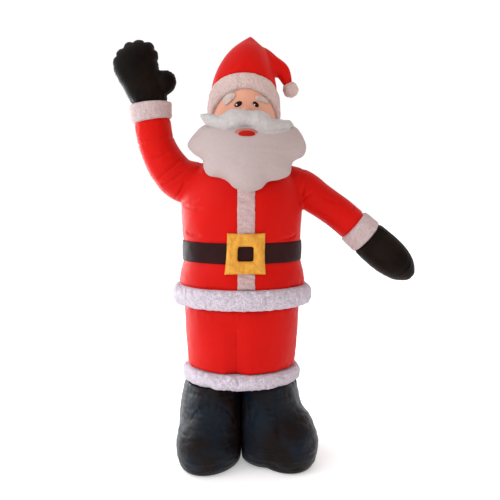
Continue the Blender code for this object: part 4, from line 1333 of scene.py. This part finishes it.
    def build(self, figure: Figure) -> None:
        """Makes the cuff and the mitten."""
        wrist = self.cuff(figure)
        cloth = self.palm_cloth().fused(self.voxel, self.thumb_cloth(), rounds=8)
        points = cloth.points
        heights = self.gathered(points) + 0.0025 * noise(points, 0.11, 77) + self.full
        if self.roll:
            heights += self.gathered(turned(points, math.pi / 2)) * 0.6
        wide = np.array([self.rows[0][1]])
        hem = ovals(np.zeros((1, 3)), wide, wide, 48)[0]
        heights += Seam(loop_of(hem), 0.006, 0.010, 0.004, 0.050, 0.028).relief(points)
        cloth = cloth.pushed(heights).cut((0, 0, 0), (0, 0, -1))
        placed = self.lean(turned(cloth.points, self.roll), self.turn) + wrist
        figure.add("mitten_" + self.name, cloth.placed(placed), MITTEN_BLACK)


@dataclass
class Head:
    """The head, its hair and brim, and the hat with its tail and ball."""

    across: float = 0.180
    deep: float = 0.186
    middle_rise: float = 0.255
    tall: float = 0.420
    narrowing: float = 0.24
    shift: float = 0.012
    seam_rise: float = 0.352
    tilt: float = math.radians(26.5)
    hat_across: float = 0.187
    hat_deep: float = 0.192
    hat_height: float = 0.323
    peak_shift: float = 0.035
    peak_back: float = 0.020
    tail: tuple[Pair, ...] = (
        (-0.010, -0.085), (0.060, -0.106), (0.117, -0.148), (0.179, -0.186), (0.214, -0.256)
    )
    tail_radii: tuple[float, ...] = (0.046, 0.056, 0.056, 0.045, 0.026)
    ball_radius: float = 0.045
    brim_thick: float = 0.026
    brim_height: float = 0.086
    hair_drop: float = 0.170
    hair_hem: float = 0.012
    hair_fall: float = math.radians(36)
    face_opening: float = math.radians(86)
    voxel: float = 0.0046

    def size(self, rise: np.ndarray) -> np.ndarray:
        """Share of the head's half width at heights above the neck."""
        below = 1 - self.narrowing * (1 - np.clip(rise / self.middle_rise, None, 1)) ** 2
        above = 1 - np.clip((rise - self.middle_rise) / self.tall, 0, 1) ** 2.6
        return np.where(rise < self.middle_rise, below, np.sqrt(above))

    def seam_plane(self, base: float) -> tuple[Points, Points]:
        """A point and the upward normal of the plane between head and hat."""
        normal = np.array([0.0, math.sin(self.tilt), math.cos(self.tilt)])
        return np.array([self.shift, 0.0, base + self.seam_rise]), normal

    def face_point(self, base: float, across: float, rise: float) -> Points:
        """A point on the head's front, across from the middle of the face and above the neck."""
        size = float(self.size(np.array([rise]))[0])
        y = -self.deep * size * math.sqrt(max(0.0, 1 - (across / (self.across * size)) ** 2))
        return turned(np.array([across, y, 0.0]), FACE_TURN) + np.array([self.shift, 0.0, base + rise])

    def skull(self, figure: Figure, base: float) -> None:
        """Makes the head."""
        rise = np.linspace(0, 0.86 * (self.middle_rise + self.tall), 70)
        size = self.size(rise)
        cloth = Cloth.woven(ovals(
            upright(base + rise, self.shift), self.across * size, self.deep * size, 160, FACE_TURN
        ))
        cloth = cloth.pushed(0.0015 * noise(cloth.points, 0.09, 81))
        point, normal = self.seam_plane(base)
        figure.add("head", cloth.cut(point, normal), SKIN)

    def hair(self, figure: Figure, base: float) -> None:
        """Makes the plush shell: a brim over the forehead, and hair that falls to the collar."""
        point, normal = self.seam_plane(base)
        sides = 340
        angle = 2 * math.pi * np.arange(sides) / sides
        from_front = np.abs((angle + math.pi) % (2 * math.pi) - math.pi)
        way = turned(np.stack([np.sin(angle), -np.cos(angle), 0 * angle], -1), FACE_TURN)
        top = point[2] - normal[1] * way[:, 1] * self.deep / normal[2] - SEAM_GAP * 4
        arch = np.clip(from_front / self.face_opening, 0, 1) ** 1.7
        drop = self.brim_height + (self.hair_drop - self.brim_height) * arch
        past = smooth_step(from_front, self.face_opening, self.face_opening + self.hair_fall)
        drop = drop + (top - base - self.hair_hem - drop) * past
        turns = np.linspace(-math.pi / 2, math.pi / 2, 36)
        rise = 0.5 + 0.5 * np.sign(np.sin(turns)) * np.abs(np.sin(turns)) ** 0.85
        out = 0.12 + 0.88 * np.clip(np.cos(turns), 0, 1) ** 0.7
        rise = np.concatenate([rise, np.linspace(1, 0, 8)])
        out = np.concatenate([out, np.full(8, -0.10)])
        height = top[None] - drop[None] * (1 - rise[:, None])
        size = self.size(height - base)
        local = turned(way, -FACE_TURN)
        reach = size / np.hypot(local[:, 0] / self.across, local[:, 1] / self.deep)[None]
        reach = reach + self.brim_thick * out[:, None]
        rings = way[None] * reach[..., None]
        rings[..., 0] += self.shift
        rings[..., 2] = height
        cloth = Cloth.woven(rings, Ends.JOINED)
        points = cloth.points
        loose = np.clip(np.repeat(out, sides), 0, 1)
        waves = noise(points, (0.028, 0.028, 0.070), 84)
        heights = 0.0045 * waves + pile(points, 85, 0.0040, 0.0018)
        cloth = cloth.pushed(heights * loose)
        points = cloth.points
        ahead = (points - point) @ normal
        points[:, 2] -= np.clip(ahead + SEAM_GAP * 2, 0, None) / normal[2]
        figure.add("hair_and_brim", cloth.placed(points), HAIR_FUR)

    def hat(self, figure: Figure, base: float) -> tuple[Points, Points]:
        """Makes the hat.

        Returns:
            The tail's end and the direction that it points in.
        """
        point, normal = self.seam_plane(base)
        steps = ((-0.10, 1.0), (0.00, 1.00), (0.12, 0.97), (0.32, 0.895), (0.50, 0.79), (0.66, 0.66),
                 (0.80, 0.49), (0.92, 0.26), (1.03, 0.01))
        rows = spline(steps, np.linspace(0, 1, 70))
        rings = ovals(np.zeros((70, 3)), self.hat_across * rows[:, 1], self.hat_deep * rows[:, 1], 120)
        for ring, rise in zip(rings, rows[:, 0]):
            level = np.clip(1 - rise, 0, 1) ** 1.5
            ring[:] = turned(ring, -self.tilt * level, "X") + point
            ring += np.array([self.peak_shift * rise ** 2, self.peak_back * rise, self.hat_height * rise])
        shares = np.linspace(0, 1, 60)
        peak = point + np.array([self.peak_shift, self.peak_back, self.hat_height])
        path = in_space(spline(self.tail, shares) + peak[[0, 2]], peak[1])
        radii = spline([(radius,) for radius in self.tail_radii], shares)[:, 0]
        tail = Cloth.woven(tube(path, radii, radii, 60))
        cloth = Cloth.woven(rings).fused(self.voxel, tail, rounds=14)
        hem = loop_of(rings[8][::3])
        view = figure.view
        fold = view.onto(cloth, ((254, 42), (262, 52), (269, 64), (274, 72)))
        for side in (fold, fold * (1, -1, 1) + np.array([0.0, 2 * peak[1], 0.0])):
            away, _ = Seam(side).nearest(cloth.points)
            cloth = cloth.eased(160, 0.5, 0.0, np.exp(-(away / 0.040) ** 2)[:, None])
        seams = [Seam(hem, 0.005, 0.010, 0.0030, 0.045, 0.030)]
        folds = (
            (((268, 48), (275, 58), (283, 70)), 0.004, 0.011),
            (((274, 74), (277, 82), (277, 90)), 0.005, 0.010),
            (((285, 74), (291, 82), (296, 93)), 0.004, 0.008),
        )
        for line, depth, width in folds:
            seams.append(Seam(view.onto(cloth, line), depth, width, 0.002, 0.03, 0.03, fades=True))
        cloth = cloth.sewn(seams, 0.003, 87)
        figure.add("hat", cloth.cut(point + normal * SEAM_GAP, -normal), RED)
        return path[-1], heading(path)

    def ball(self, figure: Figure, end: Points, ahead: Points) -> None:
        """Makes the plush ball, flat where it is sewn to the hat's tail."""
        angle = np.linspace(-math.pi / 2, math.pi / 2, 46)[1:-1]
        size = self.ball_radius * np.cos(angle)
        cloth = Cloth.woven(ovals(upright(self.ball_radius * np.sin(angle)), size, size, 90))
        cloth = cloth.pushed(pile(cloth.points, 90, 0.0035, 0.0022))
        points = cloth.points
        along = points @ ahead
        points += np.clip(SEAM_GAP * 3 - self.ball_radius * 0.8 - along, 0, None)[:, None] * ahead
        middle = end + ahead * self.ball_radius * 0.8
        figure.add("pompom", cloth.placed(points + middle), HAIR_FUR)

    def build(self, figure: Figure) -> None:
        """Makes the head, hair, hat and ball."""
        base = figure.neck
        self.skull(figure, base)
        self.hair(figure, base)
        end, ahead = self.hat(figure, base)
        self.ball(figure, end, ahead)


def inside(outline: Points, spots: Points) -> np.ndarray:
    """Whether each spot is inside a closed outline."""
    found = np.zeros(len(spots), bool)
    for (x0, z0), (x1, z1) in zip(outline, np.roll(outline, -1, axis=0)):
        if z0 == z1:
            continue
        crosses = (z0 > spots[:, 1]) != (z1 > spots[:, 1])
        found ^= crosses & (spots[:, 0] < x0 + (spots[:, 1] - z0) * (x1 - x0) / (z1 - z0))
    return found


def blown(outline: Points, spots: Points, cells: int = 150, rounds: int = 1500) -> np.ndarray:
    """How high a sheet blown up inside an outline stands.

    Args:
        outline: the closed outline, as places across and up.
        spots: places to give heights for.
        cells: cells across the grid that the sheet is worked out on.
        rounds: rounds of easing.

    Returns:
        Heights from 0 to 1.
    """
    low, high = outline.min(axis=0) - 0.01, outline.max(axis=0) + 0.01
    cell = (high[0] - low[0]) / cells
    count = (cells + 1, int((high[1] - low[1]) / cell) + 2)
    sides = (low[k] + cell * np.arange(count[k]) for k in (0, 1))
    places = np.stack(np.meshgrid(*sides, indexing="ij"), -1)
    free = inside(outline, places.reshape(-1, 2)).reshape(count)
    sheet = np.zeros(count)
    for _ in range(rounds):
        sheet[1:-1, 1:-1] = (
            sheet[:-2, 1:-1] + sheet[2:, 1:-1] + sheet[1:-1, :-2] + sheet[1:-1, 2:]
        ) / 4 + 1.0
        sheet[~free] = 0
    place = (spots - low) / cell
    first = np.clip(place.astype(int), 0, np.array(count) - 2)
    part = place - first
    value = sum(
        sheet[first[:, 0] + i, first[:, 1] + j]
        * np.where(i, part[:, 0], 1 - part[:, 0]) * np.where(j, part[:, 1], 1 - part[:, 1])
        for i in (0, 1) for j in (0, 1)
    )
    return np.sqrt(np.clip(value / sheet.max(), 0, None))


@dataclass
class Beard:
    """A big scalloped cushion from cheek to cheek that hangs in front of the chest."""

    head: Head
    outline: tuple[Pair, ...] = (
        (0.000, 0.082), (0.130, 0.082), (0.242, 0.078), (0.290, 0.040), (0.318, -0.024), (0.302, -0.086),
        (0.242, -0.134), (0.222, -0.206), (0.166, -0.242), (0.104, -0.260), (0.062, -0.302),
        (-0.006, -0.318), (-0.072, -0.296), (-0.108, -0.260), (-0.146, -0.236), (-0.214, -0.214),
        (-0.242, -0.170), (-0.254, -0.118), (-0.306, -0.070), (-0.338, -0.014), (-0.300, 0.040),
        (-0.242, 0.080), (-0.130, 0.082),
    )
    mouth_rise: float = 0.112
    middle_drop: float = 0.100
    forward: float = 0.235
    pitch: float = math.radians(-16)
    thick: float = 0.105
    back: float = 0.050
    wrap: float = 0.95
    gathers: int = 75
    sides: int = 420
    steps: int = 44

    def build(self, figure: Figure) -> None:
        """Makes the beard, with its back lying on the head, the coat and the trim."""
        base = figure.neck
        mouth = self.head.face_point(base, 0.0, self.mouth_rise)
        place = turned(np.array([0.0, -self.forward, 0.0]), FACE_TURN)
        place += np.array([mouth[0], 0.0, mouth[2] - self.middle_drop])
        edge = closed_spline(self.outline, np.arange(self.sides) / self.sides)
        edge[:, 1] += self.middle_drop
        share = np.sin(np.linspace(0, math.pi / 2, self.steps))[1:]
        flat = edge[None] * share[:, None, None]
        high = blown(edge, flat.reshape(-1, 2)).reshape(flat.shape[:2])
        high *= np.sqrt(1 - share[:, None] ** 10)
        x, z = flat[..., 0], flat[..., 1]
        plane = np.stack([x, 0 * x, z], -1).reshape(-1, 3)
        folds = 0.0024 * noise(plane, (0.22, 1.0, 0.018), 92) + 0.0030 * noise(plane, 0.10, 93)
        arc = np.tile(np.arange(self.sides) / self.sides * self.gathers, len(share))
        reach = np.repeat(share, self.sides)
        folds += 0.0036 * ripples(arc, 0 * arc, 94) * smooth_step(reach, 0.80, 0.97)
        folds = folds.reshape(x.shape) * (1 - share[:, None] ** 12)
        rings = []
        for thick, side in ((self.thick, -1), (self.back, 1)):
            y = self.wrap * x ** 2 + side * (thick * high + (folds if side < 0 else 0))
            rings.append(np.stack([x, y, z], -1))
        front, rear = (turned(layer, self.pitch, "X") + place for layer in rings)
        rear = rear[::3] if (len(rear) - 1) % 3 == 0 else np.concatenate([rear[::3], rear[-1:]])
        shape = rear.shape
        spots = rear.reshape(-1, 3)
        hit = landing(figure.trees("head", "coat", "hair_and_brim", "front_trim_upper"), spots)
        spots[:, 1] = np.minimum(spots[:, 1], hit - SEAM_GAP * 3)
        rear = spots.reshape(shape)
        cloth = Cloth.woven(np.concatenate([front, rear[-2::-1]], axis=0))
        points = cloth.points
        ahead = np.arange(len(points)) < front.shape[0] * front.shape[1]
        cloth = cloth.pushed(np.where(ahead, pile(points, 95, 0.0006, 0.0005), 0))
        figure.add("beard", cloth, BEARD_FUR)


@dataclass
class Moustache:
    """A plush roll over the mouth, thick at its middle and curled up at both tips."""

    head: Head
    path: tuple[Triple, ...] = (
        (-0.254, 0.020, 0.003), (-0.251, 0.014, 0.009), (-0.229, 0.0035, 0.026), (-0.198, -0.011, 0.033),
        (-0.156, -0.017, 0.037), (-0.117, -0.010, 0.047), (-0.081, 0.002, 0.053), (-0.045, 0.0125, 0.048),
        (-0.005, 0.013, 0.042), (0.039, 0.010, 0.052), (0.075, 0.000, 0.057), (0.111, -0.0115, 0.048),
        (0.147, -0.011, 0.041), (0.192, -0.002, 0.034), (0.223, 0.011, 0.024), (0.241, 0.014, 0.013),
        (0.247, 0.016, 0.003),
    )
    rise: float = 0.175
    thick: float = 0.055
    full_radius: float = 0.052
    forward: float = 0.265
    wrap: float = 1.3
    lean: float = math.radians(5.5)
    sides: int = 90
    steps: int = 200

    def build(self, figure: Figure) -> None:
        """Makes the roll, with its back lying on the face and the beard."""
        base = figure.neck
        centre = self.head.face_point(base, 0.0, self.rise)
        place = turned(np.array([0.0, -self.forward, 0.0]), FACE_TURN)
        place += np.array([centre[0], 0, centre[2]])
        drawn = spline(self.path, np.linspace(0, 1, self.steps))
        radius = np.clip(drawn[:, 2], 0.002, None)
        depth = self.thick * np.clip(radius / self.full_radius, 0, 1) ** 0.7
        rings = tube(in_space(drawn[:, :2]), radius, depth, self.sides)
        rings[..., 1] += self.wrap * rings[..., 0] ** 2
        rings = turned(turned(rings, self.lean, "Y"), FACE_TURN) + place
        cloth = Cloth.woven(rings)
        points = cloth.points
        strands = noise(points, (0.045, 0.045, 0.016), 97)
        cloth = cloth.pushed(0.0022 * strands + pile(points, 98, 0.0018, 0.0012))
        points = cloth.points
        hit = landing(figure.trees("head", "beard", "hair_and_brim"), points)
        points[:, 1] = np.minimum(points[:, 1], hit - SEAM_GAP * 3)
        figure.add("moustache", cloth.placed(points), MOUSTACHE_FUR)


@dataclass
class Pad:
    """A small stuffed patch of any outline, sewn on what lies behind it."""

    node: str
    place: Pair
    outline: Points
    thick: float
    behind: tuple[str, ...]
    finish: object
    lean: float = 0.0
    round_edge: float = 2.0
    rough: float = 0.0
    steps: int = 22

    def build(self, figure: Figure) -> None:
        """Makes the patch in front of its neighbours."""
        share = np.sin(np.linspace(0, math.pi / 2, self.steps))[1:]
        flat = self.outline[None] * share[:, None, None]
        cos, sin = math.cos(self.lean), math.sin(self.lean)
        flat = flat @ np.array([[cos, -sin], [sin, cos]]) + np.array(self.place)
        spots = in_space(flat.reshape(-1, 2))
        hit = landing(figure.trees(*self.behind), spots)
        bulk = self.thick * (1 - np.repeat(share, len(self.outline)) ** self.round_edge) ** 0.5
        bulk += self.rough * noise(spots, 0.012, 101) * (bulk / self.thick)
        front, rear = (
            np.stack([spots[:, 0], y, spots[:, 2]], -1).reshape(len(share), len(self.outline), 3)
            for y in (hit - SEAM_GAP * 3 - bulk - 0.0004, hit - SEAM_GAP * 3)
        )
        figure.add(self.node, Cloth.woven(np.concatenate([front, rear[-1::-3]])), self.finish, 0.7)


def dome(half_across: float, up: float, down: float, power: float = 2.0, sides: int = 64) -> Points:
    """A rounded outline that reaches up and down by its own amounts. Power 2 makes it elliptic."""
    angle = 2 * math.pi * np.arange(sides) / sides
    across, rise = np.cos(angle), np.sin(angle)
    tall = np.where(rise > 0, up, down)
    return np.stack([
        half_across * np.sign(across) * np.abs(across) ** (2 / power),
        tall * np.sign(rise) * np.abs(rise) ** (2 / power)
    ], -1)


@dataclass
class Face:
    """Nose, eyes, brows, lip and mouth."""

    head: Head
    beard: Beard
    eye_spacing: float = 0.048
    eye_shift: float = 0.006
    eye_rise: float = 0.276
    brow_spacing: float = 0.091
    brow_rise: float = 0.308
    left_brow_drop: float = 0.005
    nose_rise: float = 0.236
    nose_radius: float = 0.028

    def spot(self, base: float, across: float, rise: float) -> Pair:
        """Place across and up of a point of the face."""
        point = self.head.face_point(base, across, rise)
        return float(point[0]), float(point[2])

    def nose(self, figure: Figure, base: float) -> None:
        """Makes the nose."""
        place = self.spot(base, 0.0, self.nose_rise)
        outline = dome(self.nose_radius, self.nose_radius, self.nose_radius)
        Pad("nose", place, outline, 0.014, ("head",), SKIN).build(figure)

    def eye(self, figure: Figure, base: float, side: Side, size: Pair, lean: float) -> None:
        """Makes an eye with a glint."""
        x, z = self.spot(base, self.eye_shift + side.value * self.eye_spacing, self.eye_rise)
        glint = np.array([[x - 0.4 * size[0], 0.0, z - 0.3 * size[1]]])
        glint[0, 1] = landing(figure.trees("head"), glint)[0] - 0.006
        finish = EyeCloth("eye_black", tuple(glint[0] + np.array(figure.axis)), size[1] * 0.26)
        node = "eye_" + side.name.lower()
        Pad(node, (x, z), dome(size[0], size[1], size[1]), 0.006, ("head",), finish, lean).build(figure)

    def brow(self, figure: Figure, base: float, side: Side, size: Pair, lean: float) -> None:
        """Makes a plush brow above an eye."""
        x, z = self.spot(base, side.value * self.brow_spacing, self.brow_rise)
        place = (x, z - (self.left_brow_drop if side is Side.LEFT else 0.0))
        name = side.name.lower()
        outline = dome(size[0], size[1], size[1] * 0.8, 2.4)
        outline += 0.0022 * noise(in_space(outline), 0.012, 7)[:, None] * np.sign(outline)
        behind = ("head", "eye_" + name)
        Pad("brow_" + name, place, outline, 0.013, behind, BROW_FUR, lean, 3.0, 0.0025).build(figure)

    def mouth(self, figure: Figure, base: float) -> None:
        """Makes the lip, and the mouth on it."""
        x, z = self.spot(base, 0.0, self.beard.mouth_rise)
        lip = dome(0.062, 0.023, 0.008)
        Pad("lip", (x + 0.002, z), lip, 0.006, ("beard", "moustache"), LIP).build(figure)
        patch = dome(0.044, 0.020, 0.010, 2.2)
        behind = ("beard", "lip", "moustache")
        Pad("mouth", (x + 0.006, z - 0.010), patch, 0.006, behind, MOUTH).build(figure)

    def build(self, figure: Figure) -> None:
        """Makes the pieces of the face on the head and the beard."""
        base = figure.neck
        self.nose(figure, base)
        self.eye(figure, base, Side.RIGHT, (0.0225, 0.0135), math.radians(-25))
        self.eye(figure, base, Side.LEFT, (0.0190, 0.0120), math.radians(38))
        self.brow(figure, base, Side.RIGHT, (0.042, 0.027), math.radians(-38))
        self.brow(figure, base, Side.LEFT, (0.041, 0.018), math.radians(16))
        self.mouth(figure, base)


@dataclass
class Studio:
    """Floor, lamps and sky: cool light from the left, a weaker warm fill, and white behind."""

    floor_half: float = 30.0
    floor_colour: Colour = (0.95, 0.95, 0.95)
    glow: float = 0.33
    cool: Colour = (1.38, 1.43, 1.52)
    warm: Colour = (0.73, 0.61, 0.575)
    behind: Colour = (1.02, 1.02, 1.02)
    bright_side: Triple = (-0.93, -0.26, 0.26)
    aim: Triple = (0.0, 0.0, 1.1)

    def floor(self) -> None:
        """Makes the plain pale floor."""
        mesh = bpy.data.meshes.new("floor")
        half = self.floor_half
        corners = [(-half, -half, 0), (half, -half, 0), (half, half, 0), (-half, half, 0)]
        mesh.from_pydata(corners, [], [(0, 1, 2, 3)])
        shader = Shader("floor")
        shader.dress((*self.floor_colour, 1.0), 0.9, 0.0)
        shader.feed(shader.surface.inputs["Emission Color"], (1.0, 1.0, 1.0, 1.0))
        shader.feed(shader.surface.inputs["Emission Strength"], self.glow)
        mesh.materials.append(shader.material)
        made = linked("floor", mesh)

    def lamp(self, name: str, place: Triple, size: float, power: float, colour: Colour) -> None:
        """Makes a square soft light that faces the figure's waist."""
        light = bpy.data.lights.new(name, "AREA")
        light.size = size
        light.energy = power
        light.color = colour
        made = linked(name, light)
        made.location = place
        made.rotation_euler = (Vector(self.aim) - Vector(place)).to_track_quat("-Z", "Y").to_euler()

    def sky(self) -> None:
        """Makes the light all round: white behind the figure, and from cool to warm in front of it."""
        world = bpy.data.worlds.new("studio")
        world.use_nodes = True
        shader = Shader.of(world.node_tree, "Background")
        way = shader.value("ShaderNodeTexCoord", {}, {}, "Generated")
        to_light, back = (
            shader.value("ShaderNodeVectorMath", {"operation": "DOT_PRODUCT"}, {0: way, 1: ahead}, 1)
            for ahead in (self.bright_side, (0, 1, 0))
        )
        front = shader.mixed(shader.rise(to_light, -0.25, 0.95), self.warm, self.cool)
        colour = shader.mixed(shader.rise(back, 0.15, 0.5), front, self.behind)
        shader.feed(shader.surface.inputs["Color"], colour)
        bpy.context.scene.world = world

    def build(self) -> None:
        """Makes the floor, the lamps and the sky."""
        self.floor()
        self.lamp("key", (-4.2, -2.4, 3.0), 1.6, 45.0, (1.0, 0.98, 0.96))
        self.lamp("edge", (-2.8, 2.3, 1.4), 2.4, 115.0, (0.88, 0.96, 1.0))
        self.sky()
        bpy.context.scene.view_settings.view_transform = "Standard"


def main() -> None:
    """Builds the studio, the camera and the figure, piece by piece."""
    logging.basicConfig(level=logging.INFO, format="%(message)s")
    low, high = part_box("belt")
    figure = Figure(Vector(((low.x + high.x) / 2, (low.y + high.y) / 2, 0.0)))
    Studio().build()
    figure.view.camera(figure.axis)
    coat = Coat()
    head = Head()
    beard = Beard(head)
    trousers = Trousers()
    Boots().build(figure)
    across, deep = trousers.hem_across, trousers.hem_across * trousers.depth_share
    legs_seam = ((237, 364), (237, 374), (238, 384))
    Band("trouser_fur", across, deep, 0.032, LEGS_TURN, LEGS_SHIFT, legs_seam, 0.010).build(figure)
    trousers.build(figure)
    coat_seam = ((266, 290), (266.5, 300), (266, 312))
    Band("coat_fur", *coat.hem, 0.040, COAT_TURN, 0.0, coat_seam).build(figure)
    coat.build(figure)
    Belt(coat).build(figure)
    Trim("front_trim_lower").build(figure)
    Trim("front_trim_upper").build(figure)
    Buckle(coat).build(figure)
    Hand(
        "raised", coat.raised, math.radians(-5.5), 0.102, 0.352,
        ((0.00, 0.099, 0.099, 0.000), (0.13, 0.110, 0.103, -0.014), (0.26, 0.117, 0.104, -0.026),
         (0.44, 0.124, 0.104, -0.048), (0.61, 0.129, 0.102, -0.059), (0.80, 0.116, 0.088, -0.049),
         (0.92, 0.082, 0.060, -0.037)),
        math.radians(56)
    ).build(figure)
    Hand(
        "lowered", coat.lowered, math.radians(131), 0.112, 0.338,
        ((0.00, 0.098, 0.098, 0.000), (0.18, 0.112, 0.102, 0.006), (0.36, 0.122, 0.103, 0.012),
         (0.52, 0.127, 0.100, 0.016), (0.68, 0.120, 0.089, 0.019), (0.82, 0.098, 0.070, 0.021),
         (0.93, 0.062, 0.042, 0.022)),
        math.radians(26), math.radians(-90), 0.0, 0.007
    ).build(figure)
    head.build(figure)
    beard.build(figure)
    Moustache(head).build(figure)
    Face(head, beard).build(figure)


if __name__ == "__main__":
    main()
